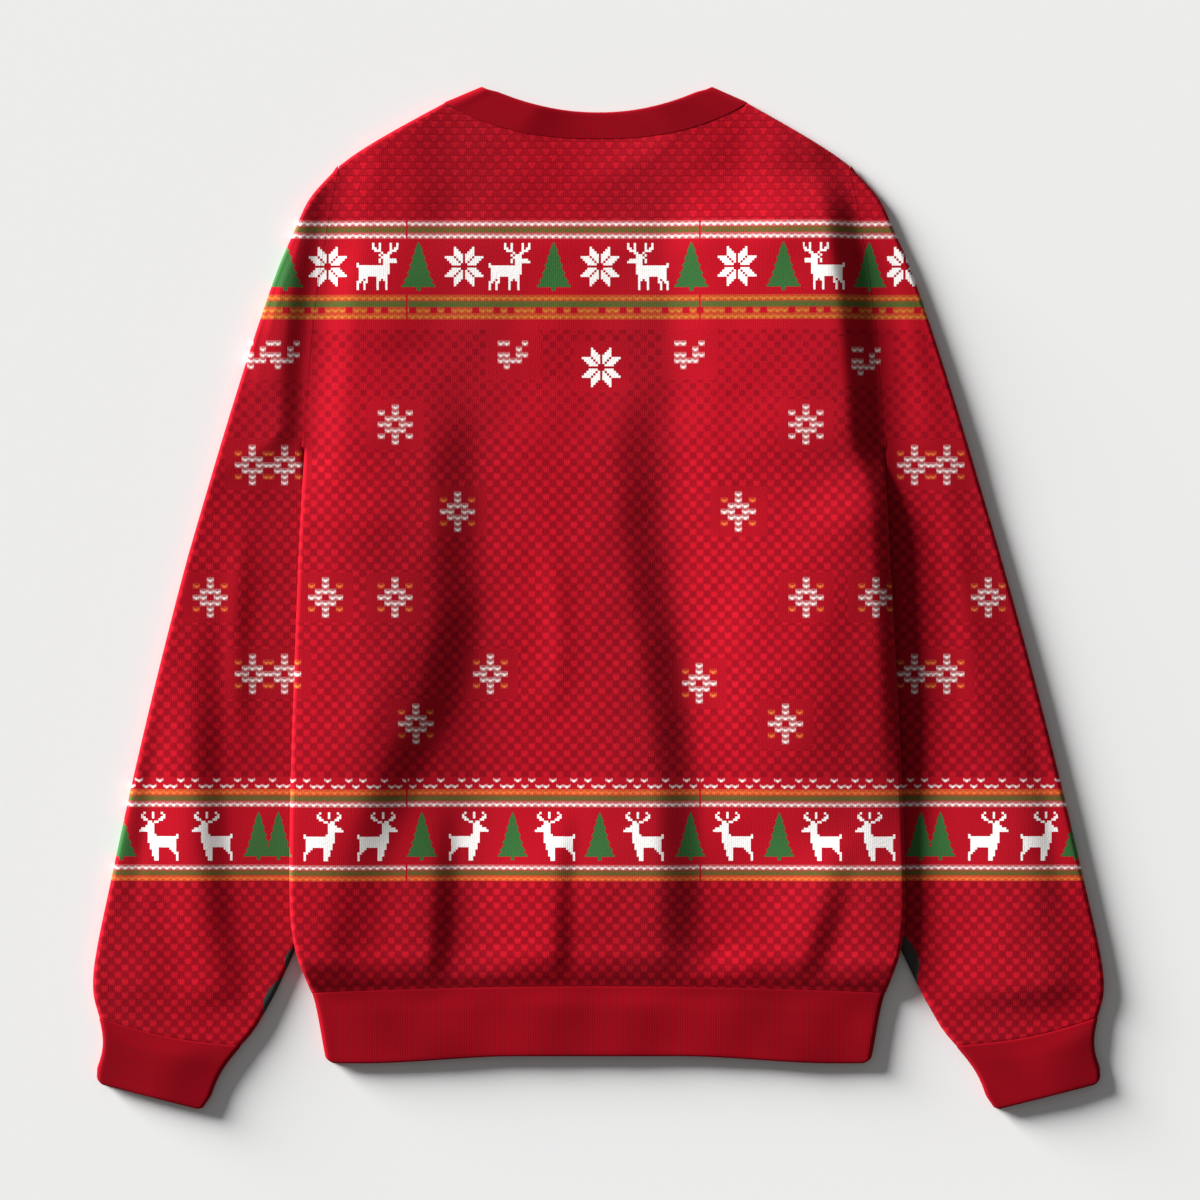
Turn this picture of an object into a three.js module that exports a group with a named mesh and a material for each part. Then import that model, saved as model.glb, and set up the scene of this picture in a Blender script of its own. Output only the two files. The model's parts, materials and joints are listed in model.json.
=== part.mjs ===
// A crew-neck sweatshirt laid out on its front, back uppermost, with both sleeves drawn down
// beside the body. Millimetres; +X to the right, +Y towards the neck, +Z up from the surface.
// Every piece is a sheet of cloth: a grid of points on the middle of its wall, thickened by half
// a wall to each side. The plan (x, y) comes from the outline tables. The height comes from how
// far the lower ply is lifted, how far apart the two plies lie, and the turn at a folded edge.
import * as THREE from "three";

// ---- Cloth and seams ----
const CLOTH = 2.4; // wall of the brushed fleece
const RIB = 3.0; // wall of the doubled rib knit
const SEAM_GAP = 0.3; // between pieces where they are sewn
const NECK_FOLD_GAP = 0.7; // either side of the neck seam where it turns over the shoulder
const HALF_WALL = CLOTH / 2;
const HALF_GAP = SEAM_GAP / 2;
const FOLD_INSET = 1.4; // from the shoulder's outline to the middle of the wall, along y
const SLEEVE_INSET = 1.25; // from the sleeve's outline to the middle of the wall, along x

// ---- How the plies lie ----
const PRESSED = 3.6; // between the middles of two plies that lie pressed together
const LOFT = 5.8; // the same where the plies lie loose
const EDGE_LOFT = 5.0; // the same at a folded edge
const COLLAR_LOFT = 4.1; // the same where the back of the neck lies on the front of it
const SUNK_LOFT = 1.6; // the same where the back has sunk into the neck hole
const EDGE_RADIUS = 2.5; // plan depth of the turn at a folded edge
const NECK_TURN = 6; // the same along the slanting fold of the collar and the neck seam
const FOLD_PINCH = 0.5; // share of the wall's inner half that is left inside the tightest turn
const STACK_LIFT = 6.6; // the body's underside where it lies on a sleeve
const ARMHOLE_SWELL = 6; // the body beside an armhole
const SLEEVE_CROWN = 4.2; // the sleeve clear of the body
const HEM_BLOUSE = 2; // the body where the hem band draws it in
const CUFF_BLOUSE = 1.6; // the sleeve where the cuff draws it in
const LEFT_SPREAD = 6.5; // the left side lies this much fuller than the right, at the shoulder

// ---- Plan sizes, for the right half ----
const NECK_HALF = 112; // neck seam's half width, at the shoulder fold
const NECK_PEAK = { x: 86, y: 389.5 }; // top of the collar's shoulder fold
const SHOULDER_NECK_Y = 376; // the shoulder fold where it meets the neck seam
const BACK_NECK_Y = 348.5; // back neck seam at the centre
const FRONT_NECK_Y = 290; // front neck seam at the centre
const COLLAR_DEPTH = 20; // collar band, seam to free edge at the centre
const SHOULDER_TIP = { x: 190, y: 328 }; // where shoulder, armhole and sleeve fold meet
const ARMPIT = { x: 217, y: 112 }; // where side seam and underarm seam meet
const HEM_SEAM = { centreY: -295, sideY: -300, halfWidth: 218 };
const HEM_END = { centreY: -348, sideY: -353.5, halfWidth: 207.5 };
const CUFF_SEAM = { outer: { x: 379, y: -319 }, inner: { x: 271.5, y: -340 } };
const CUFF_END = { outer: { x: 381, y: -369 }, inner: { x: 299.5, y: -389 } };
const CUFF_BOW = 4; // the cuff seam's bow towards the hand
const CUFF_WAIST = 3.5; // how far the cuff's edges draw in

// ---- Small helpers ----
const clamp01 = (t) => Math.min(1, Math.max(0, t));
const mix = (a, b, t) => a + (b - a) * t;
const smooth = (t) => {
  const s = clamp01(t);
  return s * s * (3 - 2 * s);
};
// Height share, 0 to 1, of a round turn at plan distance d from its edge.
const rounded = (d, radius) => Math.sqrt(1 - (1 - clamp01(d / radius)) ** 2);

// A smooth curve through the rows of a table, as value(key). Rows are in rising order of key.
function through(rows, key, value) {
  const k = rows.map((row) => row[key]);
  const v = rows.map((row) => row[value]);
  const last = k.length - 1;
  const slope = k.map((_, i) => {
    const a = Math.max(0, i - 1);
    const b = Math.min(last, i + 1);
    return (v[b] - v[a]) / (k[b] - k[a]);
  });
  return (at) => {
    const x = Math.min(k[last], Math.max(k[0], at));
    let i = 0;
    while (i < last - 1 && x > k[i + 1]) i += 1;
    const span = k[i + 1] - k[i];
    const t = (x - k[i]) / span;
    const rise = v[i + 1] - v[i];
    const a = slope[i] * span - rise;
    const b = rise - slope[i + 1] * span;
    return mix(v[i], v[i + 1], t) + t * (1 - t) * (a * (1 - t) + b * t);
  };
}

// ---- Outline tables, for the right half ----
// Body: side edge up to the armpit, then the armhole seam up to the shoulder tip.
const bodyEdge = through(
  [
    { y: HEM_SEAM.sideY, x: HEM_SEAM.halfWidth },
    { y: -284, x: 224 },
    { y: -266, x: 229.5 },
    { y: -240, x: 232.5 },
    { y: -192, x: 232 },
    { y: -116, x: 229 },
    { y: -40, x: 225 },
    { y: 40, x: 220.5 },
    { y: ARMPIT.y, x: ARMPIT.x },
    { y: 170, x: 213.5 },
    { y: 234, x: 207 },
    { y: 300, x: 196 },
    { y: SHOULDER_TIP.y, x: SHOULDER_TIP.x },
  ],
  "y",
  "x",
);
const shoulderLine = through(
  [
    { x: NECK_HALF, y: SHOULDER_NECK_Y },
    { x: 150, y: 354.3 },
    { x: 176, y: 338.3 },
    { x: SHOULDER_TIP.x, y: SHOULDER_TIP.y },
  ],
  "x",
  "y",
);
// Sleeve: outer fold from the cuff up to the shoulder tip.
const sleeveOuter = through(
  [
    { y: CUFF_SEAM.outer.y, x: CUFF_SEAM.outer.x },
    { y: -300, x: 383.6 },
    { y: -276, x: 382 },
    { y: -222, x: 370.2 },
    { y: -116, x: 344.9 },
    { y: -2, x: 314.7 },
    { y: 112, x: 281.6 },
    { y: 188, x: 258 },
    { y: 249, x: 237 },
    { y: 279, x: 224 },
    { y: 303, x: 212.5 },
    { y: SHOULDER_TIP.y, x: SHOULDER_TIP.x },
  ],
  "y",
  "x",
);
// Sleeve: inner fold from the cuff up, in under the body, and out again to the armpit.
const sleeveInner = through(
  [
    { y: CUFF_SEAM.inner.y, x: CUFF_SEAM.inner.x },
    { y: -328, x: 261.5 },
    { y: -313, x: 252.5 },
    { y: -298, x: 244.3 },
    { y: -283, x: 237 },
    { y: -262, x: 227.5 },
    { y: -215, x: 209 },
    { y: -150, x: 191 },
    { y: -80, x: 182 },
    { y: -20, x: 182 },
    { y: 20, x: 190 },
    { y: 50, x: 202 },
    { y: 70, x: 212 },
    { y: 86, x: 217.8 },
    { y: 99, x: 218.8 },
    { y: ARMPIT.y, x: ARMPIT.x + 0.4 },
  ],
  "y",
  "x",
);
// A neckline, bowed down from its end at the given half width to its centre.
const bowed = (end, centre, power, half) => (x) =>
  centre + (end - centre) * Math.min(1, Math.abs(x) / half) ** power;
const NECK_FOLD_Y = SHOULDER_NECK_Y - FOLD_INSET;
const backNeckSeam = bowed(NECK_FOLD_Y, BACK_NECK_Y, 2.5, NECK_HALF);
const frontNeckSeam = bowed(NECK_FOLD_Y, FRONT_NECK_Y, 2.3, NECK_HALF);
const backNeckFree = bowed(NECK_PEAK.y, BACK_NECK_Y + COLLAR_DEPTH, 2.1, NECK_PEAK.x);
const frontNeckFree = bowed(NECK_PEAK.y, FRONT_NECK_Y + COLLAR_DEPTH, 2.1, NECK_PEAK.x);
const hemSeam = (x) => mix(HEM_SEAM.centreY, HEM_SEAM.sideY, (x / HEM_SEAM.halfWidth) ** 2);
const hemEnd = (x) => mix(HEM_END.centreY, HEM_END.sideY, smooth((Math.abs(x) - 60) / 120));
const aboveHem = (x, y) => y - hemSeam(x);

// ---- Folds ----
// Each has a route for the middle of its steep side. The cloth rises softly over `run` on the -X
// side of the crest and drops over twice `drop` on the +X side.
const FOLDS = {
  body: [
    {
      name: "long fold, left of centre",
      route: [
        { y: -278, x: -193, height: 3 },
        { y: -215, x: -185, height: 6 },
        { y: -169, x: -169, height: 8 },
        { y: -123, x: -143, height: 10 },
        { y: -70, x: -117, height: 11 },
        { y: -17, x: -104, height: 11 },
        { y: 59, x: -105, height: 7 },
        { y: 120, x: -107, height: 3 },
        { y: 185, x: -108, height: 0 },
      ],
      drop: 19,
      run: 85,
    },
    {
      name: "long fold, right of centre",
      route: [
        { y: -280, x: 60, height: 4 },
        { y: -215, x: 62, height: 8 },
        { y: -123, x: 58, height: 8 },
        { y: -47, x: 47, height: 7.5 },
        { y: 28, x: 33, height: 6 },
        { y: 100, x: 31, height: 3 },
        { y: 165, x: 31, height: 0 },
      ],
      drop: 17,
      run: 110,
    },
    {
      name: "gather at the hem, centre",
      route: [
        { y: -288, x: -27, height: 3.5 },
        { y: -230, x: -24, height: 3 },
        { y: -150, x: -20, height: 0 },
      ],
      drop: 11,
      run: 34,
    },
    {
      name: "gather at the hem, left",
      route: [
        { y: -288, x: -122, height: 5 },
        { y: -230, x: -116, height: 4.5 },
        { y: -160, x: -112, height: 0 },
      ],
      drop: 12,
      run: 34,
    },
    {
      name: "gather at the hem, right",
      route: [
        { y: -288, x: 166, height: 5 },
        { y: -240, x: 184, height: 4.5 },
        { y: -180, x: 198, height: 0 },
      ],
      drop: 13,
      run: 40,
    },
    {
      name: "soft swell, right",
      route: [
        { y: -250, x: 140, height: 0 },
        { y: -120, x: 158, height: 3.5 },
        { y: 40, x: 150, height: 3.5 },
        { y: 150, x: 140, height: 0 },
      ],
      drop: 40,
      run: 60,
    },
  ],
  sleeveLeft: [
    {
      name: "long fold down the left sleeve",
      route: [
        { y: -300, x: -276, height: 1.5 },
        { y: -230, x: -286, height: 3.5 },
        { y: -154, x: -291, height: 3.5 },
        { y: -78, x: -292, height: 2.5 },
        { y: 20, x: -287, height: 0 },
      ],
      drop: 13,
      run: 36,
    },
  ],
  sleeveRight: [
    {
      name: "soft fold down the right sleeve",
      route: [
        { y: -300, x: 330, height: 2 },
        { y: -200, x: 322, height: 3 },
        { y: -60, x: 300, height: 2.5 },
        { y: 60, x: 262, height: 0 },
      ],
      drop: 22,
      run: 46,
    },
  ],
};
const FOLD_END = 14; // length over which a fold dies out past the ends of its route
function foldShape({ route, drop, run }) {
  const at = through(route, "y", "x");
  const height = through(route, "y", "height");
  const low = route[0].y - FOLD_END;
  const high = route[route.length - 1].y + FOLD_END;
  return (x, y) => {
    const d = x - at(y);
    const steep = smooth((drop - d) / (2 * drop));
    const soft = smooth((d + drop + run) / run);
    const ends = smooth((y - low) / FOLD_END) * smooth((high - y) / FOLD_END);
    return Math.max(0, height(y)) * ends * steep * soft;
  };
}
function foldsOf(folds) {
  const shapes = folds.map(foldShape);
  return (x, y) => shapes.reduce((sum, shape) => sum + shape(x, y), 0);
}
const bodyFolds = foldsOf(FOLDS.body);
const sleeveFolds = { right: foldsOf(FOLDS.sleeveRight), left: foldsOf(FOLDS.sleeveLeft) };

// ---- Height of the body ----
// How far the body's lower ply is lifted off the surface.
function bodyLift(x, y) {
  const ax = Math.abs(x);
  const inside = bodyEdge(y) - ax;
  const belowArmpit = smooth((ARMPIT.y - y) / 16) * smooth((y - HEM_SEAM.sideY) / 26);
  const onSleeve = belowArmpit * smooth((ax - sleeveInner(y) + 49) / 45);
  const alongArmhole = smooth((y - 70) / 60) * (1 - smooth((y - 235) / 75));
  const besideArmhole = smooth((inside - 4) / 22) * (1 - smooth((inside - 28) / 70));
  const d = aboveHem(x, y);
  const atHem = smooth(d / 9) * (1 - smooth((d - 9) / 26));
  return (
    STACK_LIFT * onSleeve +
    ARMHOLE_SWELL * alongArmhole * besideArmhole +
    HEM_BLOUSE * atHem +
    bodyFolds(x, y) * smooth((d - 2) / 26)
  );
}
// How far apart the middles of the body's two plies lie.
function bodyLoft(x, y) {
  const inside = bodyEdge(y) - Math.abs(x);
  const beside = mix(EDGE_LOFT, LOFT, smooth(inside / 30));
  const armhole = mix(PRESSED, LOFT, smooth((inside - 4) / 28));
  const upper = mix(beside, armhole, smooth((y - ARMPIT.y + 25) / 25));
  return mix(EDGE_LOFT, upper, smooth(aboveHem(x, y) / 24));
}
// The same for the back, which lies on the front collar and sinks in the neck hole beyond it.
function backLoft(x, y) {
  const ax = Math.abs(x);
  const nearNeck = smooth((y - FRONT_NECK_Y + 30) / 40) * smooth((NECK_HALF + 30 - ax) / 40);
  const overCollar = mix(bodyLoft(x, y), COLLAR_LOFT, nearNeck);
  const pastCollar = smooth((y - frontNeckFree(ax) - 5) / 24) * smooth((84 - ax) / 30);
  return mix(overCollar, SUNK_LOFT, pastCollar);
}
// How far the cloth has turned over: 0 at the edge of a fold and 1 where it lies flat.
function bodyTurn(x, y, topY) {
  const ax = Math.abs(x);
  const atSide = rounded(bodyEdge(y) - HALF_WALL - HALF_GAP - ax, EDGE_RADIUS);
  const atArmpit = rounded(y - ARMPIT.y, EDGE_RADIUS);
  const atShoulder = rounded(topY - y, EDGE_RADIUS);
  const atNeck = rounded(NECK_HALF - ax, NECK_TURN);
  return Math.min(Math.max(atSide, atArmpit), Math.max(atShoulder, atNeck));
}

// ---- A sheet of cloth from the grid of points on the middle of its wall ----
// Moves a point of the left side out, to where that side lies.
function spread(point) {
  const share = smooth(-point.x / SHOULDER_TIP.x) * clamp01((point.y - HEM_SEAM.sideY) / 330);
  point.x -= LEFT_SPREAD * share;
}
// The share of the wall's inner half that is kept at a turn.
const keptAt = (turn) => mix(FOLD_PINCH, 1, turn);
// Turns a direction square to one seam direction, or to two of them.
function squareTo(normal, seams) {
  if (seams.length === 2) {
    const crossed = seams[0].clone().cross(seams[1]).normalize();
    normal.copy(crossed.multiplyScalar(crossed.dot(normal) < 0 ? -1 : 1));
  }
  if (seams.length === 1) normal.addScaledVector(seams[0], -normal.dot(seams[0])).normalize();
}
// rows[j][i] is a Vector3. across(j, i) lists the directions over the seams at an edge point,
// and the wall is square to each of them. Side is +1 where (along i) x (along j) faces out.
// kept(j, i) is the share of the wall's inner half that a point keeps inside a tight turn.
function sheet(rows, wall, { closed = false, side = 1, across = () => [], kept = () => 1 } = {}) {
  rows.forEach((row) => row.forEach(spread));
  const nj = rows.length;
  const ni = rows[0].length;
  const at = (j, i) => rows[j][closed ? (i + ni) % ni : Math.min(ni - 1, Math.max(0, i))];
  const outer = [];
  const inner = [];
  for (let j = 0; j < nj; j += 1) {
    for (let i = 0; i < ni; i += 1) {
      const along = at(j, i + 1).clone().sub(at(j, i - 1));
      const up = rows[Math.min(nj - 1, j + 1)][i].clone().sub(rows[Math.max(0, j - 1)][i]);
      const normal = along.cross(up).normalize().multiplyScalar(side);
      squareTo(normal, across(j, i));
      outer.push(rows[j][i].clone().addScaledVector(normal, wall / 2));
      inner.push(rows[j][i].clone().addScaledVector(normal, (-wall / 2) * kept(j, i)));
    }
  }
  const geometry = new THREE.BufferGeometry();
  geometry.setFromPoints([...outer, ...inner]);
  geometry.setIndex(sheetFaces(nj, ni, closed, side));
  geometry.computeVertexNormals();
  return geometry;
}
// Faces of the outer skin, the inner skin, and the walls along the open edges.
function sheetFaces(nj, ni, closed, side) {
  const index = [];
  const quad = (a, b, c, d) => index.push(...(side > 0 ? [a, b, c, a, c, d] : [a, c, b, a, d, c]));
  const outer = (j, i) => j * ni + (i % ni);
  const inner = (j, i) => nj * ni + outer(j, i);
  const lastI = closed ? ni : ni - 1;
  const top = nj - 1;
  const end = ni - 1;
  for (let j = 0; j < top; j += 1) {
    for (let i = 0; i < lastI; i += 1) {
      quad(outer(j, i), outer(j, i + 1), outer(j + 1, i + 1), outer(j + 1, i));
      quad(inner(j, i), inner(j + 1, i), inner(j + 1, i + 1), inner(j, i + 1));
    }
    if (!closed) {
      quad(outer(j, 0), outer(j + 1, 0), inner(j + 1, 0), inner(j, 0));
      quad(outer(j, end), inner(j, end), inner(j + 1, end), outer(j + 1, end));
    }
  }
  for (let i = 0; i < lastI; i += 1) {
    quad(outer(0, i), inner(0, i), inner(0, i + 1), outer(0, i + 1));
    quad(outer(top, i), outer(top, i + 1), inner(top, i + 1), inner(top, i));
  }
  return index;
}
const X = new THREE.Vector3(1, 0, 0);
const Y = new THREE.Vector3(0, 1, 0);
const Z = new THREE.Vector3(0, 0, 1);

// Plan distances from a folded edge at which cloth is sampled, so that the turn comes out round.
const turnSteps = (radius) => [0, 45, 90].map((deg) => radius * (1 - Math.cos((deg * Math.PI) / 180)));
const TURN_STEPS = turnSteps(EDGE_RADIUS);
// Half of the neck seam, from the shoulder fold in: the turn, then even steps to the centre.
const NECK_EVEN = 9;
const halfNeckSteps = [
  ...turnSteps(NECK_TURN).map((inset) => NECK_HALF - inset),
  ...Array.from({ length: NECK_EVEN - 1 }, (_, i) => mix(NECK_HALF - NECK_TURN, 0, (i + 1) / NECK_EVEN)),
];
const NECK_STEPS = [...halfNeckSteps.map((x) => -x), 0, ...halfNeckSteps.slice().reverse()];

// Direction over a neck seam at x, in plan.
function overNeck(neck, x) {
  const step = 0.5;
  return new THREE.Vector3(neck(x - step) - neck(x + step), 2 * step, 0).normalize();
}

// How far collar and panel each stay off the line of the neck seam: more where it turns over.
const neckClearance = (x) =>
  mix(NECK_FOLD_GAP, HALF_GAP, smooth((NECK_HALF - Math.abs(x)) / (2 * NECK_TURN)));

// ---- Front and back panels ----
const PANEL = { shoulderColumns: 6, rows: 26 };
const TIP_HALF = SHOULDER_TIP.x - HALF_GAP;
// Each column of a panel: its x at the top edge, and how far it stays inside the side edge.
function panelColumns() {
  const turn = TURN_STEPS.map((inset) => ({ x: TIP_HALF - inset, inset }));
  const shoulder = Array.from({ length: PANEL.shoulderColumns - 1 }, (_, i) => ({
    x: mix(TIP_HALF - EDGE_RADIUS, NECK_HALF, (i + 1) / PANEL.shoulderColumns),
    inset: EDGE_RADIUS,
  }));
  const left = [...turn, ...shoulder].map(({ x, inset }) => ({ x: -x, inset }));
  const right = [...turn, ...shoulder].reverse();
  return [...left, ...NECK_STEPS.map((x) => ({ x, inset: EDGE_RADIUS })), ...right];
}
// Each row of a panel: its share of the way up, and how far it stays below the top edge.
function panelRows() {
  const even = Array.from({ length: PANEL.rows }, (_, j) => j / (PANEL.rows - 1));
  const turn = TURN_STEPS.slice(0, -1).reverse();
  return [
    ...even.map((share) => ({ share, inset: EDGE_RADIUS })),
    ...turn.map((inset) => ({ share: 1, inset })),
  ];
}
function panel(ply) {
  const upper = ply === "back";
  const neck = upper ? backNeckSeam : frontNeckSeam;
  const inNeck = ({ x }) => Math.abs(x) <= NECK_HALF;
  const topEdge = (column) =>
    inNeck(column) ? neck(column.x) : shoulderLine(Math.abs(column.x)) - FOLD_INSET;
  const tipY = topEdge({ x: TIP_HALF });
  const tipShift = SHOULDER_TIP.x - bodyEdge(tipY); // brings the top row out to the tip itself
  // Half width of the body at a height of its side edge, to the middle of the wall.
  const halfWidth = (y) => {
    const turned = y < tipY - EDGE_RADIUS ? 1 - rounded(y - ARMPIT.y, EDGE_RADIUS) : 0;
    return bodyEdge(y) - HALF_GAP - HALF_WALL * turned;
  };
  const columns = panelColumns();
  const rows = panelRows().map((up) => {
    const sideY = mix(hemSeam(TIP_HALF) + HALF_GAP, tipY - up.inset, up.share);
    return columns.map((column) => {
      const topY = topEdge(column);
      const y = mix(hemSeam(column.x) + HALF_GAP, topY - up.inset, up.share);
      const share = column.x / (TIP_HALF - column.inset);
      const x = share * (halfWidth(sideY) + tipShift * up.share - column.inset);
      const low = bodyLift(x, y) + HALF_WALL;
      const high = low + backLoft(x, y);
      const level = (low + high) / 2;
      const z = mix(level, upper ? high : low, bodyTurn(x, y, topY));
      const clear = upper ? Math.max(z, level + HALF_GAP) : Math.min(z, level - HALF_GAP);
      return new THREE.Vector3(x, y, clear);
    });
  });
  const top = rows.length - 1;
  const end = columns.length - 1;
  columns.filter(inNeck).forEach((column) => {
    const clear = neckClearance(column.x);
    rows[top][columns.indexOf(column)].addScaledVector(overNeck(neck, column.x), -clear);
  });
  const across = (j, i) => {
    const seams = [];
    if (j === 0) seams.push(Y);
    if (j === top && inNeck(columns[i])) seams.push(overNeck(neck, columns[i].x));
    if (j === top && Math.abs(columns[i].x) >= NECK_HALF) seams.push(Z);
    if (i === 0 || i === end) seams.push(rows[j][i].y > ARMPIT.y ? X : Z);
    return seams;
  };
  const kept = (j, i) =>
    j > top - 3 && inNeck(columns[i])
      ? keptAt(rounded(NECK_HALF - Math.abs(columns[i].x), NECK_TURN))
      : 1;
  return sheet(rows, CLOTH, { side: upper ? 1 : -1, across, kept });
}

// ---- Flattened tubes: sleeves, cuffs and hem ----
// Samples round a flattened ring: the upper ply from edge 0 to edge 1, then the lower ply back.
// `turn` is the share of an edge's turn that a sample at that edge has gone in.
function ringSamples(flat) {
  const turn = TURN_STEPS.map((step) => step / EDGE_RADIUS);
  const between = Array.from({ length: flat - 1 }, (_, i) => ({ share: (i + 1) / flat, turn: 1 }));
  const half = [
    ...turn.map((t) => ({ share: 0, turn: t })),
    ...between,
    ...turn.map((t) => ({ share: 1, turn: t })).reverse(),
  ];
  const upper = half.map((sample) => ({ ...sample, up: 1 }));
  const lower = half.slice(1, -1).reverse();
  return [...upper, ...lower.map((sample) => ({ ...sample, up: -1 }))];
}
// Plan share between edge 0 and edge 1 of a sample, on a ring that is `wide` across, where the
// two edges turn within the given plan depths.
function ringShare(sample, wide, depths) {
  const [a, b] = depths.map((depth) => Math.min(0.45, depth / wide));
  if (sample.share === 0) return sample.turn * a;
  if (sample.share === 1) return 1 - sample.turn * b;
  return mix(a, 1 - b, sample.share);
}
const ringTurn = (share, wide, depths) =>
  Math.min(rounded(share * wide, depths[0]), rounded((1 - share) * wide, depths[1]));
const EVEN_DEPTHS = [EDGE_RADIUS, EDGE_RADIUS];
// The directions that a ring's wall is square to at a turn: it is level at the very edge of a fold.
const levelAt = (turn) => (turn === 0 ? [Z] : []);

// ---- Sleeves ----
// linger crowds the rows towards the armpit
const SLEEVE = { flat: 8, rows: 25, linger: 2.4, leastSlant: 0.2 };
const TIP_FOLD_Y = SHOULDER_TIP.y - FOLD_INSET;
// Direction from the right cuff to its armhole.
const CUFF_AXIS = new THREE.Vector3(-0.2, 0.98, 0).normalize();
const mirrored = (v, mirror) => new THREE.Vector3(v.x * mirror, v.y, v.z);
// The seam between right sleeve and cuff, from its outer end, 0, to its inner end, 1.
function cuffSeam(over) {
  const bow = CUFF_BOW * Math.sin(Math.PI * over);
  return [
    mix(CUFF_SEAM.outer.x - SLEEVE_INSET, CUFF_SEAM.inner.x + HALF_WALL, over) + bow / 4,
    mix(CUFF_SEAM.outer.y, CUFF_SEAM.inner.y, over) - bow,
  ];
}
const CUFF_WIDE = Math.hypot(...[0, 1].map((k) => cuffSeam(0)[k] - cuffSeam(1)[k]));
// Plan of the right sleeve: over runs from the outer fold, 0, to the inner fold, 1, and down
// runs from the armhole seam, 0, to the cuff seam, 1. The four sides are blended as a patch.
function sleevePlan(over, down) {
  const outerY = mix(TIP_FOLD_Y, CUFF_SEAM.outer.y, down);
  const innerY = mix(ARMPIT.y, CUFF_SEAM.inner.y, down ** SLEEVE.linger);
  const seamY = mix(TIP_FOLD_Y, ARMPIT.y, over);
  const tip = [bodyEdge(TIP_FOLD_Y), TIP_FOLD_Y];
  const armpit = [ARMPIT.x, ARMPIT.y];
  const outer = down === 0 ? tip : [sleeveOuter(outerY) - SLEEVE_INSET, outerY];
  const inner = down === 0 ? armpit : [sleeveInner(innerY) + HALF_WALL, innerY];
  const seam = [bodyEdge(seamY), seamY];
  const cuff = cuffSeam(over);
  return [0, 1].map((k) => {
    const sides = mix(outer[k], inner[k], over);
    const ends = mix(seam[k], cuff[k], down);
    const corners = mix(
      mix(tip[k], armpit[k], over),
      mix(cuffSeam(0)[k], cuffSeam(1)[k], over),
      down,
    );
    return sides + ends - corners;
  });
}
// Sine of the angle at which a row of the right sleeve meets its outer fold, 0, or inner fold, 1.
function foldSlant(over, down) {
  const step = 0.01;
  const at = (o, d) => new THREE.Vector2(...sleevePlan(o, clamp01(d)));
  const fold = at(over, down + step).sub(at(over, down - step)).normalize();
  const row = at(1, down).sub(at(0, down)).normalize();
  return Math.max(SLEEVE.leastSlant, Math.abs(fold.cross(row)));
}
function sleeve(name) {
  const mirror = name === "left" ? -1 : 1;
  const ring = ringSamples(SLEEVE.flat);
  const last = SLEEVE.rows - 1;
  const rows = [];
  for (let j = 0; j <= last; j += 1) {
    const down = j / last;
    const [x0, y0] = sleevePlan(0, down);
    const [x1, y1] = sleevePlan(1, down);
    const wide = Math.hypot(x1 - x0, y1 - y0);
    const depths = [0, 1].map((over) => EDGE_RADIUS / (j === last ? 1 : foldSlant(over, down)));
    const beforeCuff = smooth((1 - down) * 20);
    const atCuff = smooth((1 - down) * 60) * (1 - smooth((1 - down) * 24 - 0.4));
    rows.push(
      ring.map((sample) => {
        const over = ringShare(sample, wide, depths);
        const [x, y] = sleevePlan(over, down);
        const turn = ringTurn(over, wide, depths);
        const outside = x - bodyEdge(y);
        const open = smooth((outside - 8) / 30) * beforeCuff;
        const loft = mix(mix(EDGE_LOFT, PRESSED, beforeCuff), LOFT, open);
        const crown = SLEEVE_CROWN * smooth((over * wide - 4) / 45) * beforeCuff;
        const fold = sleeveFolds[name](mirror * x, y) * beforeCuff * smooth((outside - 12) / 20);
        const lift = (crown + CUFF_BLOUSE * atCuff) * open + fold;
        const cleared = j === 0 ? HALF_GAP + HALF_WALL * (1 - turn) : 0;
        const z = lift + HALF_WALL + (loft / 2) * (1 + sample.up * turn);
        return new THREE.Vector3(mirror * (x + cleared), y, z);
      }),
    );
  }
  const axis = mirrored(CUFF_AXIS, mirror);
  rows[last].forEach((point) => point.addScaledVector(axis, HALF_GAP));
  const seams = { 0: [X], [last]: [axis] };
  const across = (j, i) => [...(seams[j] ?? []), ...levelAt(ring[i].turn)];
  return sheet(rows, CLOTH, { closed: true, side: mirror, across, kept: (j, i) => keptAt(ring[i].turn) });
}

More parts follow.
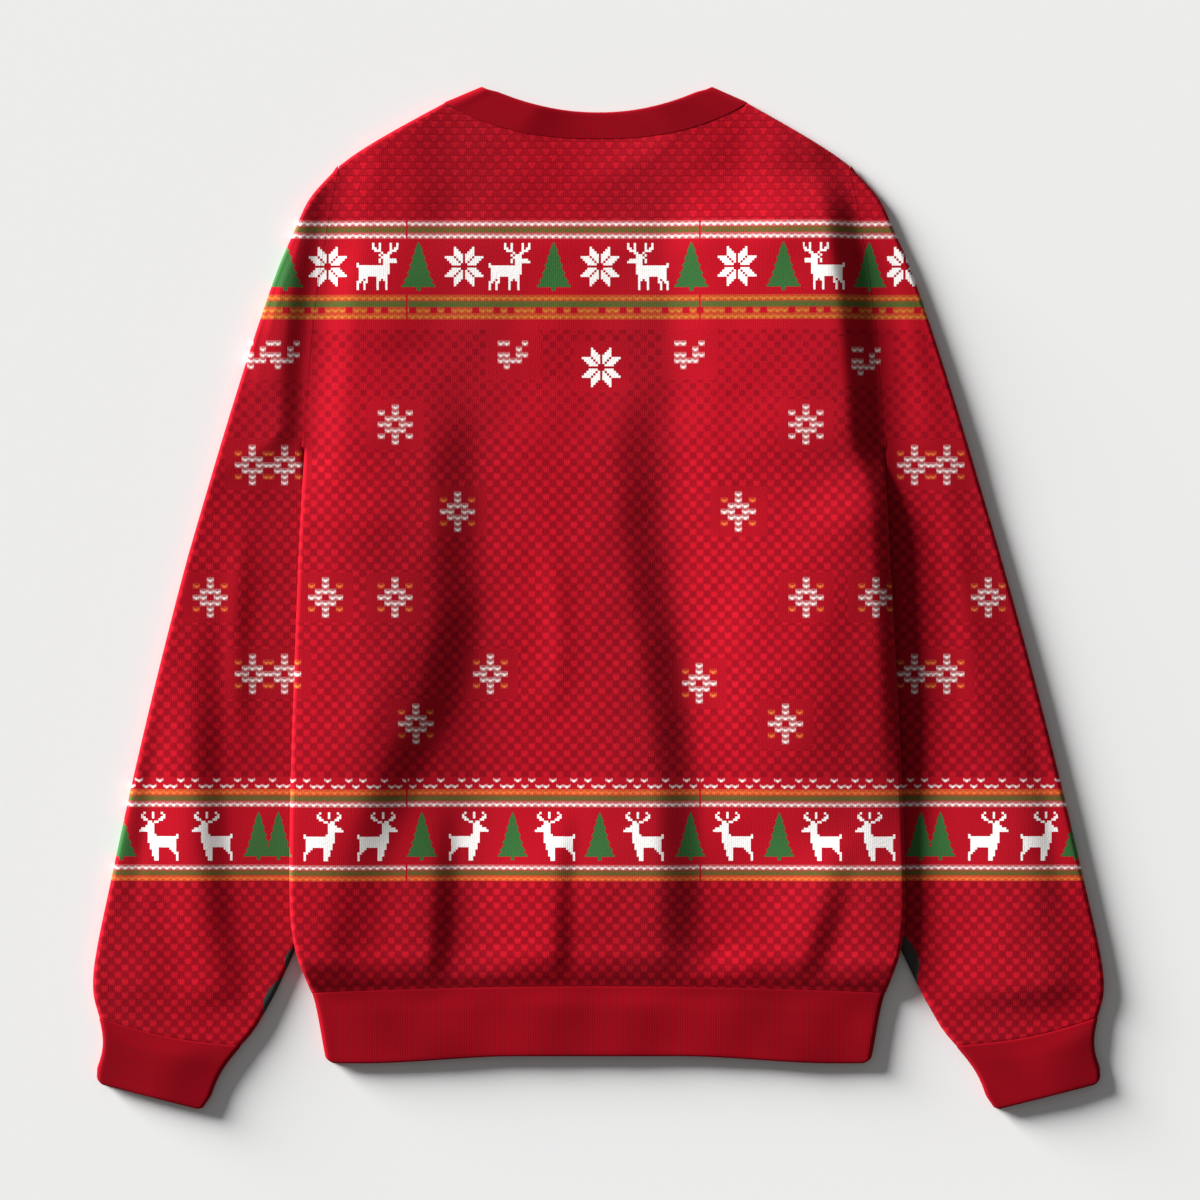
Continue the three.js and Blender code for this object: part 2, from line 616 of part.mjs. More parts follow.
// ---- Cuffs and hem band ----
const BAND = { rows: 5, loft: EDGE_LOFT - SEAM_GAP, fullness: 1 }; // fullness is between the seams
function cuff(name) {
  const mirror = name === "left" ? -1 : 1;
  const ring = ringSamples(SLEEVE.flat);
  const rows = [];
  for (let j = 0; j < BAND.rows; j += 1) {
    const down = j / (BAND.rows - 1);
    const waist = CUFF_WAIST * Math.sin(Math.PI * Math.min(1, down * 1.25));
    rows.push(
      ring.map((sample) => {
        const share = ringShare(sample, CUFF_WIDE, EVEN_DEPTHS);
        const [seamX, seamY] = cuffSeam(share);
        const endX = mix(CUFF_END.outer.x - RIB / 2, CUFF_END.inner.x + RIB / 2, share);
        const endY = mix(CUFF_END.outer.y, CUFF_END.inner.y, share);
        const pull = waist * Math.sign(share - 0.5) * Math.abs(1 - 2 * share) ** 3;
        const full = BAND.fullness * Math.sin(Math.PI * share) * smooth(down * 3);
        const turn = ringTurn(share, CUFF_WIDE, EVEN_DEPTHS);
        const z = RIB / 2 + ((BAND.loft + full) / 2) * (1 + sample.up * turn);
        return new THREE.Vector3(mirror * (mix(seamX, endX, down) + pull), mix(seamY, endY, down), z);
      }),
    );
  }
  const axis = mirrored(CUFF_AXIS, mirror);
  rows[0].forEach((point) => point.addScaledVector(axis, -HALF_GAP));
  const across = (j, i) => [...(j === 0 ? [axis] : []), ...levelAt(ring[i].turn)];
  return sheet(rows, RIB, { closed: true, side: mirror, across, kept: (j, i) => keptAt(ring[i].turn) });
}

const HEM = { flat: 26, cornerRise: 3, cornerWidth: 8 };
function hemBand() {
  const ring = ringSamples(HEM.flat);
  const rows = [];
  for (let j = 0; j < BAND.rows; j += 1) {
    const down = j / (BAND.rows - 1);
    const half = mix(HEM_SEAM.halfWidth, HEM_END.halfWidth, down ** 0.7) - RIB / 2;
    rows.push(
      ring.map((sample) => {
        const share = ringShare(sample, 2 * half, EVEN_DEPTHS);
        const x = mix(-half, half, share);
        const inside = half - Math.abs(x);
        const corner = HEM.cornerRise * down * (1 - smooth(inside / HEM.cornerWidth));
        const full = BAND.fullness * smooth(inside / 60) * smooth(down * 3);
        const turn = rounded(inside, EDGE_RADIUS);
        const z = RIB / 2 + ((BAND.loft + full) / 2) * (1 + sample.up * turn);
        return new THREE.Vector3(x, mix(hemSeam(x) - HALF_GAP, hemEnd(x), down) + corner, z);
      }),
    );
  }
  const across = (j, i) => [...(j === 0 ? [Y] : []), ...levelAt(ring[i].turn)];
  return sheet(rows, RIB, { closed: true, side: -1, across, kept: (j, i) => keptAt(ring[i].turn) });
}

// ---- Collar ----
const COLLAR_ROWS = 4;
function collar() {
  const back = { seam: backNeckSeam, free: backNeckFree, upper: true };
  const front = { seam: frontNeckSeam, free: frontNeckFree, upper: false };
  const ring = [
    ...NECK_STEPS.map((x) => ({ x, ...back })),
    ...NECK_STEPS.slice(1, -1).reverse().map((x) => ({ x, ...front })),
  ];
  const overSeam = ({ x, seam }) => {
    const own = overNeck(seam, x);
    return Math.abs(x) === NECK_HALF ? own.add(overNeck(frontNeckSeam, x)).normalize() : own;
  };
  const rows = [];
  for (let j = 0; j < COLLAR_ROWS; j += 1) {
    const up = j / (COLLAR_ROWS - 1);
    rows.push(
      ring.map((sample) => {
        const { x, seam, free, upper } = sample;
        const fromFold = NECK_HALF - Math.abs(x);
        const turn = rounded(fromFold, NECK_TURN);
        const freeX = (x / NECK_HALF) * (NECK_PEAK.x - RIB / 2);
        const point = new THREE.Vector3(x, seam(x), 0);
        point.addScaledVector(overSeam(sample), neckClearance(x));
        point.lerp(new THREE.Vector3(freeX, free(freeX), 0), up);
        const settled = Math.max(SEAM_GAP, backLoft(x, backNeckSeam(x)) - SEAM_GAP);
        const loft = upper ? mix(COLLAR_LOFT, settled, smooth(fromFold / 12)) : 0;
        return point.setZ(RIB / 2 + mix(COLLAR_LOFT / 2, loft, turn));
      }),
    );
  }
  const turnOf = ({ x }) => rounded(NECK_HALF - Math.abs(x), NECK_TURN);
  const across = (j, i) => [...(j === 0 ? [overSeam(ring[i])] : []), ...levelAt(turnOf(ring[i]))];
  const kept = (j, i) => keptAt(turnOf(ring[i]));
  return sheet(rows, RIB, { closed: true, side: 1, across, kept });
}

// ---- The garment ----
const printed = () => new THREE.MeshStandardMaterial({ color: 0xb0111f, roughness: 0.92, metalness: 0 });
const ribbed = () => new THREE.MeshStandardMaterial({ color: 0x970b1b, roughness: 0.9, metalness: 0 });
const pieces = [
  { name: "back", geometry: panel("back"), material: printed() },
  { name: "front", geometry: panel("front"), material: printed() },
  { name: "sleeve_right", geometry: sleeve("right"), material: printed() },
  { name: "sleeve_left", geometry: sleeve("left"), material: printed() },
  { name: "cuff_right", geometry: cuff("right"), material: ribbed() },
  { name: "cuff_left", geometry: cuff("left"), material: ribbed() },
  { name: "hem_band", geometry: hemBand(), material: ribbed() },
  { name: "collar", geometry: collar(), material: ribbed() },
];

const sweatshirt = new THREE.Group();
pieces.forEach(({ name, geometry, material }) => {
  const mesh = new THREE.Mesh(geometry, material);
  mesh.name = name;
  sweatshirt.add(mesh);
});

export default sweatshirt;
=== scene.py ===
import json
from functools import partialmethod

import bpy
import numpy as np
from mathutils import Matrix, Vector

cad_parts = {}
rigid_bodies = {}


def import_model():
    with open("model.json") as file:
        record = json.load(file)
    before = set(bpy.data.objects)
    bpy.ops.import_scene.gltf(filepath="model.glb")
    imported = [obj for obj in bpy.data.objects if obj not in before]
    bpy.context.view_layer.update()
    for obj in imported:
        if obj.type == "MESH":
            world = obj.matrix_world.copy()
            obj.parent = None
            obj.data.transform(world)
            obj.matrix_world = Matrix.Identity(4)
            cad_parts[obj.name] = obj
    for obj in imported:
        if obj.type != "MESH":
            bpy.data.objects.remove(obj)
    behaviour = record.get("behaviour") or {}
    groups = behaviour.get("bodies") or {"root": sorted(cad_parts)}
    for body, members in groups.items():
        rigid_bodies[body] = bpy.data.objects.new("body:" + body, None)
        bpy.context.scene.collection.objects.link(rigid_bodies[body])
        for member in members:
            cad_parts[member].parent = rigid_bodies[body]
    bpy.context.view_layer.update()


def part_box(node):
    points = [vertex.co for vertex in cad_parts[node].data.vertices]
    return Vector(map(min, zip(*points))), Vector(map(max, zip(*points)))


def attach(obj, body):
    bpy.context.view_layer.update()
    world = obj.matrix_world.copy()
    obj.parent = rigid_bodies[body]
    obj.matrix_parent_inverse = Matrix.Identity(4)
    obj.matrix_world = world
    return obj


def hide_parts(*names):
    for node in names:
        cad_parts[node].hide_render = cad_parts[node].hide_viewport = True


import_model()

# %% [markdown]
# # A printed Christmas sweatshirt, laid out on its front
# The real thing is brushed fleece with a knitted-look winter print, and plain rib at the neck,
# cuffs and hem. It lies face down on a table, its sleeves drawn down under the body's sides.
# Each piece a maker would cut is one object here: a grid of points on the middle of the cloth,
# thickened to both sides. Shapes are worked out in millimetres and become metres in the mesh.

# %% Sizes of the cloth
MM = 0.001  # metres in a millimetre
CLOTH = 2.4  # thickness of the brushed fleece
RIB = 3.0  # thickness of the doubled rib
GAP = 0.02  # from a seam's line to each of the two pieces that it joins
HALF_WALL = CLOTH / 2
FOLD_INSET = 1.4  # from the shoulder's outline to the middle of the cloth
SLEEVE_INSET = 1.25  # from the sleeve's outline to the middle of the cloth

PRESSED = 3.6  # between the middles of two layers that lie pressed together
LOFT = 5.8  # the same where they lie loose
EDGE_LOFT = 5.0  # the same at a folded edge
COLLAR_LOFT = 4.1  # the same where the back of the neck lies on the front of it
SUNK_LOFT = 1.6  # the same where the back has sunk into the neck hole
EDGE_RADIUS = 2.5  # plan depth of the turn at a folded edge
NECK_TURN = 6.0  # the same along the slanting fold of the collar
STACK_LIFT = 6.6  # underside of the body where it lies on a sleeve
LEFT_SPREAD = 6.5  # the left side lies this much fuller than the right, at the shoulder

NECK_HALF, SHOULDER_NECK_Y = 112.0, 376.0  # where neck seam and shoulder fold meet
NECK_PEAK = (86.0, 389.5)  # top of the collar at its shoulder fold
BACK_NECK_Y, FRONT_NECK_Y, COLLAR_DEPTH = 348.5, 290.0, 20.0
SHOULDER_TIP = (190.0, 328.0)  # where shoulder, armhole and sleeve fold meet
ARMPIT = (217.0, 112.0)  # where side seam and underarm seam meet
HEM_TOP = (-295.0, -300.0, 218.0)  # hem seam: y at the centre, y at the side, half width
HEM_FOOT = (-348.0, -353.5, 207.5)  # the same for the free edge of the hem band
CUFF_TOP = ((379.0, -319.0), (271.5, -340.0))  # sleeve to cuff seam: outer and inner end
CUFF_FOOT = ((381.0, -369.0), (299.5, -389.0))  # free edge of the cuff: outer and inner end

# %% [markdown]
# ## Soft steps and curves
# Cloth has no hard corners, so every change here is blended. `smooth` is the usual soft step
# and `rounded` a quarter of a circle, which is how cloth goes over a fold. An outline is a
# short table of places with a smooth curve `through` them, as a pattern cutter joins marks
# with a French curve. All of these take whole arrays, so one call shapes a whole piece.

# %% Soft steps and curves
def clamp01(t):
    """t, but no less than 0 and no more than 1."""
    return np.clip(t, 0.0, 1.0)


def mix(a, b, t):
    """a where t is 0, b where t is 1, and in proportion between."""
    return a + (b - a) * t


def places(*parts):
    """Points from arrays of their x, y and z, each spread over the whole grid."""
    return np.stack(np.broadcast_arrays(*parts), axis=-1)


def smooth(distance, run=1.0):
    """Soft step from 0 at distance 0 to 1 at distance run: 3 t squared less 2 t cubed."""
    t = clamp01(distance / run)
    return t * t * (3 - 2 * t)


def rounded(distance, radius):
    """Height share of a quarter circle at a distance from its foot."""
    return np.sqrt(1 - (1 - clamp01(distance / radius)) ** 2)


def through(table, column=1):
    """A smooth curve through a table's rows, as a function of its first column: cubics whose
    slope at each row is that of the line between the rows beside it."""
    k, v = np.array(table)[:, 0], np.array(table)[:, column]
    n = np.arange(len(k))
    before, after = np.maximum(0, n - 1), np.minimum(n[-1], n + 1)
    slope = (v[after] - v[before]) / (k[after] - k[before])

    def curve(at):
        at = np.clip(at, k[0], k[-1])
        i = np.clip(np.searchsorted(k, at) - 1, 0, len(k) - 2)
        span = k[i + 1] - k[i]
        rise = v[i + 1] - v[i]
        t = (at - k[i]) / span
        bend = (slope[i] * span - rise) * (1 - t) + (rise - slope[i + 1] * span) * t
        return mix(v[i], v[i + 1], t) + t * (1 - t) * bend

    return curve


print("half way up a soft step:", smooth(0.5), "- a quarter in on a round turn:", rounded(0.25, 1))

# %% [markdown]
# ## The outlines
# A sweatshirt that lies flat is half symmetrical, so one table serves both sides and the left
# is mirrored. The left side of the real one lies a little fuller, which `spread` adds at the
# end. Below the armpit the body's edge is a folded side; above it, the armhole seam.

# %% The outlines
body_edge = through([
    (HEM_TOP[1], HEM_TOP[2]), (-284, 224), (-266, 229.5), (-240, 232.5), (-192, 232), (-116, 229),
    (-40, 225), (40, 220.5), ARMPIT[::-1], (170, 213.5), (234, 207), (300, 196),
    SHOULDER_TIP[::-1],
])
shoulder_line = through([(NECK_HALF, SHOULDER_NECK_Y), (150, 354.3), (176, 338.3), SHOULDER_TIP])
sleeve_outer = through([
    CUFF_TOP[0][::-1], (-300, 383.6), (-276, 382), (-222, 370.2), (-116, 344.9), (-2, 314.7),
    (112, 281.6), (188, 258), (249, 237), (279, 224), (303, 212.5), SHOULDER_TIP[::-1],
])
sleeve_inner = through([
    CUFF_TOP[1][::-1], (-328, 261.5), (-313, 252.5), (-298, 244.3), (-283, 237), (-262, 227.5),
    (-215, 209), (-150, 191), (-80, 182), (-20, 182), (20, 190), (50, 201.5), (70, 210.5),
    (86, 215), (99, 216.2), ARMPIT[::-1],
])


def bowed(end, centre, power, half):
    """A neckline: from its end height at the half width, bowed down to its centre height."""
    return lambda x: centre + (end - centre) * np.minimum(1, np.abs(x) / half) ** power


NECK_FOLD_Y = SHOULDER_NECK_Y - FOLD_INSET
back_neck_seam = bowed(NECK_FOLD_Y, BACK_NECK_Y, 2.5, NECK_HALF)
front_neck_seam = bowed(NECK_FOLD_Y, FRONT_NECK_Y, 2.3, NECK_HALF)
back_neck_free = bowed(NECK_PEAK[1], BACK_NECK_Y + COLLAR_DEPTH, 2.1, NECK_PEAK[0])
front_neck_free = bowed(NECK_PEAK[1], FRONT_NECK_Y + COLLAR_DEPTH, 2.1, NECK_PEAK[0])


def hem_seam(x):
    """The hem seam: it falls with the square of the distance from the middle."""
    return mix(HEM_TOP[0], HEM_TOP[1], (x / HEM_TOP[2]) ** 2)


def hem_end(x):
    """The hem band's free edge: level to 60 mm from the middle, and lower from 180 mm on."""
    return mix(HEM_FOOT[0], HEM_FOOT[1], smooth(np.abs(x) - 60, 120))


def spread(points):
    """The same points with the left side moved out: nothing at the hem, all of it 330 mm up."""
    x, y = points[..., 0], points[..., 1]
    share = smooth(-x, SHOULDER_TIP[0]) * clamp01((y - HEM_TOP[1]) / 330)
    return places(x - LEFT_SPREAD * share, y, points[..., 2])


print("width at the chest, mm:", round(float(2 * body_edge(40.0)), 1))

# %% [markdown]
# ## The folds
# A garment that is laid down by hand keeps a few long folds where there is more cloth than
# room. Cloth simulation would put them anywhere, so each is drawn here: a route down the
# middle of its steep side, with the fold's height along it. The cloth climbs softly from the
# left and drops sharply to the right.

# %% The long folds
FOLD_END = 14.0  # length over which a fold dies out past the ends of its route
# each fold: half the width of its steep side, width of its soft side, and rows (y, x, height)
BODY_FOLDS = [
    (21, 130, [(-278, -180, 1), (-215, -174, 2.6), (-169, -161, 4.2), (-123, -142, 5.4),
               (-70, -116, 6.4), (-17, -104, 7.2), (59, -105, 6.6), (120, -107, 4.5),
               (185, -109, 0)]),
    (19, 150, [(-280, 62, 4), (-215, 62, 7.2), (-123, 58, 6.9), (-47, 47, 6.4), (28, 35, 5.2),
               (100, 29, 3.5), (165, 28, 0)]),
    (9, 64, [(-288, -27, 3.8), (-230, -26, 3.6), (-150, -20, 0)]),
    (11, 64, [(-288, -120, 5.2), (-230, -116, 5), (-150, -112, 0)]),
    (12, 70, [(-288, 160, 4.8), (-240, 176, 4.2), (-180, 190, 0)]),
    (40, 60, [(-250, 140, 0), (-120, 158, 3.5), (40, 150, 3.5), (150, 140, 0)]),
]
SLEEVE_FOLDS = {
    "left": [(13, 36, [(-300, -276, 1.5), (-230, -286, 3.5), (-154, -291, 3.5), (-78, -292, 2.5),
                       (20, -287, 0)])],
    "right": [(22, 60, [(-300, 330, 1.2), (-200, 322, 1.8), (-60, 300, 1.4), (60, 262, 0)])],
}


def folds_height(folds, x, y):
    """Sum over the folds of height x soft rise from the left x steep drop to the right."""
    total = np.zeros(np.broadcast(x, y).shape)
    for drop, run, route in folds:
        d = x - through(route)(y)
        ends = smooth((y - route[0][0]) / FOLD_END + 1) * smooth((route[-1][0] - y) / FOLD_END + 1)
        height = np.maximum(0, through(route, 2)(y))
        total += height * ends * smooth(drop - d, 2 * drop) * smooth(d + drop + run, run)
    return total


print("long folds on the body:", len(BODY_FOLDS))

# %% [markdown]
# ## How high the cloth lies
# Two questions give every height: how far the lower layer is lifted off the table, and how far
# apart the two layers lie. The body is lifted where it lies on a sleeve, and swells beside the
# armhole seam. At a folded edge both layers meet half way, on a quarter circle.

# %% How high the body lies
# In what follows a soft step says how far past its start a place is, and how long it runs.
SIDE_SLOPE = 95.0  # mm over which the body climbs onto a sleeve
SWELL_LEFT, SWELL_RIGHT = 2.2, 9.8  # how far the body swells beside each armhole
SWELL_FADE = (90.0, 165.0)  # mm over which the swelling dies out, left and right
SWELL_BELOW = 0.8  # share of the right one that goes on below the armpit
HEM_SWELL = 1.9  # how far the fleece puffs up above the hem band
HEM_RUN = 26.0  # mm above the hem seam where lifts and folds begin


def body_lift(x, y):
    """Lift of the lower layer: on the sleeves, beside the armholes, at the hem, and in folds."""
    ax = np.abs(x)
    inside = body_edge(y) - ax
    below_armpit = smooth(ARMPIT[1] - y, 60) * smooth(y - HEM_TOP[1], HEM_RUN)
    on_sleeve = below_armpit * smooth(ax - sleeve_inner(y) + SIDE_SLOPE + 4, SIDE_SLOPE)
    right = smooth(x, 90)
    sewn = smooth(y - 70, 60)  # 1 beside the armhole, 0 below, where the side rises at its edge
    along_armhole = sewn * (1 - smooth(y - mix(235, 268, right), 60))
    below_right = right * smooth(y + 200, 160) * (1 - sewn)
    swell = mix(SWELL_LEFT * smooth(inside - 1, 34),
                SWELL_RIGHT * smooth(inside + 9 - 10 * sewn, 24 + 3 * sewn), right)
    swell = swell * (1 - smooth(inside - 30, mix(*SWELL_FADE, right)))
    above_hem = y - hem_seam(x)
    at_hem = smooth(above_hem, 9) * (1 - smooth(above_hem - 9, HEM_RUN))
    return (STACK_LIFT * on_sleeve + swell * (along_armhole + SWELL_BELOW * below_right)
            + HEM_SWELL * at_hem
            + folds_height(BODY_FOLDS, x, y) * smooth(above_hem - 2, HEM_RUN))


def back_loft(x, y):
    """Distance between the layers: less at the edges and armholes, and over the collar."""
    ax = np.abs(x)
    inside = body_edge(y) - ax
    beside = mix(EDGE_LOFT, LOFT, smooth(inside, 30))
    armhole = mix(PRESSED, LOFT, smooth(inside - 4, 28))
    upper = mix(beside, armhole, smooth(y - ARMPIT[1] + 25, 25))
    body = mix(EDGE_LOFT, upper, smooth(y - hem_seam(x), 24))
    near_neck = smooth(y - FRONT_NECK_Y + 30, 40) * smooth(NECK_HALF + 30 - ax, 40)
    past_collar = smooth(y - front_neck_free(ax) - 4, 40) * smooth(84 - ax, 30)
    return mix(mix(body, COLLAR_LOFT, near_neck), SUNK_LOFT, past_collar)


def body_turn(x, y, top_y):
    """How far the body has turned over: 0 at the very edge of a fold, 1 where it lies flat."""
    ax = np.abs(x)
    side = np.maximum(rounded(body_edge(y) - HALF_WALL - GAP - ax, EDGE_RADIUS),
                      rounded(y - ARMPIT[1], EDGE_RADIUS))
    top = np.maximum(rounded(top_y - y, EDGE_RADIUS), rounded(NECK_HALF - ax, NECK_TURN))
    return np.minimum(side, top)


print("middle of the back, mm above the table:",
      round(float(body_lift(0.0, 0.0) + back_loft(0.0, 0.0)), 1))

# %% [markdown]
# ## Creases
# Between the long folds a fleece has soft ridges and troughs a few centimetres wide, uneven in
# length, depth and spacing. Each is listed: a rise (below zero for a trough), its width
# to the left and right of its line, and the line itself. They die out at both ends. A last,
# very shallow waviness keeps the flat parts from looking ironed.

# %% Creases
CREASE_POINTS = 15  # a crease's line is drawn through this many points
TIGHTEST = PRESSED - 1  # no trough presses the layers closer together than this


def crease_height(creases, x, y):
    """Sum of the creases: rise x a bell across the line x a soft arch along it."""
    total = np.zeros(np.broadcast(x, y).shape)
    for rise, (wide_left, wide_right), line in creases:
        line = np.array(line, float)
        key = np.linspace(0, 1, len(line))
        dense = np.linspace(0, 1, CREASE_POINTS)
        px = through(np.column_stack([key, line[:, 0]]))(dense)
        py = through(np.column_stack([key, line[:, 1]]))(dense)
        dx, dy = np.diff(px), np.diff(py)
        rx, ry = x[..., None] - px[:-1], y[..., None] - py[:-1]
        t = clamp01((rx * dx + ry * dy) / (dx * dx + dy * dy))
        ox, oy = rx - t * dx, ry - t * dy
        far = ox * ox + oy * oy
        near = np.argmin(far, axis=-1)[..., None]
        pick = lambda values: np.take_along_axis(values, near, axis=-1)[..., 0]
        on_left = pick(dx * oy - dy * ox) > 0
        along = (near[..., 0] + pick(t)) / len(dx)
        arch = np.sin(np.pi * clamp01(along)) ** 0.7
        wide = np.where(on_left, wide_left, wide_right)
        total += rise * arch * np.exp(-pick(far) / wide ** 2)
    return total


def waviness(x, y):
    """Two pairs of crossing waves, 60 mm long and more and a few tenths of one high."""
    return (0.2 * np.sin(x / 13.7 + y / 31 + 1.3) * np.sin(y / 17.3 - x / 41)
            + 0.15 * np.sin(x / 9.1 - y / 19.7 + 0.4) * np.sin(y / 23.0 + 2.1))


BACK_CREASES = [
    (1.6, (7, 9), [(92, -268), (104, -280), (122, -284)]),
    (-1.2, (6, 6), [(80, -262), (96, -272), (112, -290)]),
    (1.2, (10, 10), [(-40, 60), (-30, -20), (-34, -90)]),
    (-0.6, (18, 20), [(-140, 100), (-150, 10), (-170, -60)]),
]
FRONT_CREASES = [
    (2.0, (12, 12), [(-60, 120), (-50, 20), (-70, -120)]),
    (1.6, (9, 12), [(40, 40), (52, -80), (46, -200)]),
    (2.2, (10, 10), [(120, 160), (112, 40), (130, -60)]),
    (1.8, (9, 9), [(-150, -60), (-140, -160), (-160, -240)]),
    (1.5, (12, 9), [(0, 220), (-12, 140), (4, 90)]),
]
print("creases on the back and the front:", len(BACK_CREASES), len(FRONT_CREASES))

# %% [markdown]
# ## From a grid of points to a piece of cloth
# `cloth` is the one maker of meshes. It is given the middle of the cloth as a grid, finds the
# direction square to it at each point, and sets a point half a thickness out and another half
# a thickness in. Solidify would do the same with less to write, but here the wall also stands
# square to its seams, so that two pieces meet face to face, and thins where it is folded
# tightly or rounded off at a free edge.

# %% From a grid of points to a piece of cloth
def unit(v):
    """Vectors of length one; a zero vector stays zero."""
    length = np.linalg.norm(v, axis=-1, keepdims=True)
    return np.where(length > 1e-9, v / np.maximum(length, 1e-9), 0.0)


def square_to(normal, seams):
    """Normals less their part along each seam direction in turn, so square to all of them."""
    taken = []
    for seam in seams:
        for earlier in taken:
            seam = seam - earlier * np.sum(seam * earlier, axis=-1, keepdims=True)
        seam = unit(seam)
        normal = normal - seam * np.sum(normal * seam, axis=-1, keepdims=True)
        taken.append(seam)
    return unit(normal)


def slope_along(points, axis, closed):
    """Differences between neighbours along one axis of a grid, one-sided at open ends."""
    n, ends = np.arange(points.shape[axis]), "wrap" if closed else "clip"
    return np.take(points, n + 1, axis, mode=ends) - np.take(points, n - 1, axis, mode=ends)


def grid_quads(nj, ni, closed):
    """Quads of the outer skin, the inner skin, and the walls that join them at open edges.
    o and n are the numbers of the outer and inner points."""
    o = np.arange(nj * ni).reshape(nj, ni)
    if closed:
        o = np.hstack([o, o[:, :1]])
    n = o + nj * ni
    corners = [
        (o[:-1, :-1], o[:-1, 1:], o[1:, 1:], o[1:, :-1]),
        (n[:-1, :-1], n[1:, :-1], n[1:, 1:], n[:-1, 1:]),
        (o[0, :-1], n[0, :-1], n[0, 1:], o[0, 1:]),
        (o[-1, :-1], o[-1, 1:], n[-1, 1:], n[-1, :-1]),
    ]
    if not closed:
        corners += [(o[:-1, 0], o[1:, 0], n[1:, 0], n[:-1, 0]),
                    (o[:-1, -1], n[:-1, -1], n[1:, -1], o[1:, -1])]
    return np.concatenate([np.stack(part, axis=-1).reshape(-1, 4) for part in corners])


def add_numbers(mesh, name, domain, values):
    """Stores a number for each point, corner or face, for a material to read."""
    numbers = mesh.attributes.new(name, "FLOAT", domain)
    numbers.data.foreach_set("value", values.astype(float).ravel())


def cloth(name, middle, wall, closed=False, side=1, seams=(), kept=1.0, outer_share=1.0,
          edge_share=1.0, wrap=0.0, knit=None, bare=-9.0):
    """A piece of cloth round a grid of middle points (rows, columns, 3), in millimetres.
    kept, outer_share and edge_share thin the inner half, the outer half and both.
    The UV map "laid" is each point's place in plan plus wrap, its length round a fold, or else
    knit, its place in a rib. bare is how far a point lies inside an unprinted strip, and
    below zero outside."""
    middle = spread(middle)
    nj, ni = middle.shape[:2]
    normal = unit(np.cross(slope_along(middle, 1, closed), slope_along(middle, 0, False))) * side
    normal = square_to(normal, seams)
    full = np.ones((nj, ni)) * edge_share * wall / 2
    outer = middle + normal * (full * outer_share)[..., None]
    inner = middle - normal * (full * kept)[..., None]
    points = np.concatenate([outer.reshape(-1, 3), inner.reshape(-1, 3)])
    quads = grid_quads(nj, ni, closed)
    if side < 0:
        quads = quads[:, ::-1]
    mesh = bpy.data.meshes.new(name)
    mesh.from_pydata((points * MM).tolist(), [], quads.tolist())
    mesh.polygons.foreach_set("use_smooth", np.ones(len(quads), bool))
    mesh.set_sharp_from_angle(angle=np.radians(60))  # only the walls' corners stay sharp

    laid = middle[..., :2] + wrap if knit is None else places(*knit)
    laid = np.tile((laid * MM).reshape(-1, 2), (2, 1))
    mesh.uv_layers.new(name="laid").data.foreach_set("uv", laid[quads.ravel()].ravel())
    skin = (nj - 1) * (ni if closed else ni - 1)  # faces of the outer skin, then of the inner
    add_numbers(mesh, "hidden", "FACE", np.arange(len(quads)) // skin == 1)
    add_numbers(mesh, "bare", "POINT", np.tile(np.broadcast_to(bare, (nj, ni)), (2, 1)))
    piece = bpy.data.objects.new(name, mesh)
    bpy.context.scene.collection.objects.link(piece)
    low, high = points.min(0), points.max(0)
    print(name, 2 * len(quads), "triangles; mm from", low.round(1), "to", high.round(1))
    return piece


X, Y, Z = np.eye(3)


def where_vector(mask, vector):
    """A grid of vectors: the given one where the mask holds, zero elsewhere."""
    return np.where(np.asarray(mask)[..., None], vector, 0.0)


# %% [markdown]
# ## Where the cloth is sampled
# Points are close together where the cloth turns over and farther apart where it lies flat. A
# quarter circle cut at even angles gives the steps of a turn. Next to a seam a few close rows
# let the edge of the cloth roll down into it, and at a free edge they round it off.

# %% Where the cloth is sampled
TURN_POINTS = 7  # points on a quarter circle
PINCH = 0.5  # share of the wall's inner half that is left inside a tight turn


def turn_steps(radius, count=TURN_POINTS):
    """Distances from the edge, at even angles of a quarter circle."""
    return radius * (1 - np.cos(np.linspace(0, np.pi / 2, count)))


def round_the_fold(inset, radius=EDGE_RADIUS):
    """How much longer the way round a turn is than its plan: radius x (angle gone round the
    quarter circle less the cosine of what is left of it)."""
    left = np.arccos(1 - np.minimum(inset, radius) / radius)
    return radius * (np.pi / 2 - left - np.cos(left))


SEAM_ROLL, SEAM_DIP = 2.2, 0.72  # the roll's length in mm, and the share of wall left at a seam
SEAM_STEPS = np.array([0, 0.35, 0.9, 1.5])  # rows beside a seam
END_WALL = 0.1  # share of the wall that is left at the very end of a free edge
NECK_GAP = 0.3  # from the neck seam to each piece, where the collar turns over


def seam_roll(distance):
    """Share of the outer half of the wall beside a seam: it dips down into it."""
    return mix(SEAM_DIP, 1.0, rounded(distance, SEAM_ROLL))


def band_rows(count, length, wall):
    """Shares from the seam, 0, to the free edge, 1, of a rib band: close at both ends."""
    free = turn_steps(wall / 2, 5)
    start, end = SEAM_ROLL / length, 1 - wall / 2 / length
    return np.concatenate([SEAM_STEPS / length, np.linspace(start, end, count),
                           (1 - free[:-1] / length)[::-1]])


def rounded_end(down, length, wall):
    """Share of the wall at a free edge, rounded off, with a little left at the very end."""
    return np.maximum(END_WALL, rounded((1 - down) * length, wall / 2))


half_neck = np.concatenate([NECK_HALF - turn_steps(NECK_TURN),
                            np.linspace(NECK_HALF - NECK_TURN, 0, 38)[1:-1]])
NECK_STEPS = np.concatenate([-half_neck, [0.0], half_neck[::-1]])
print("points along a neck seam:", len(NECK_STEPS))

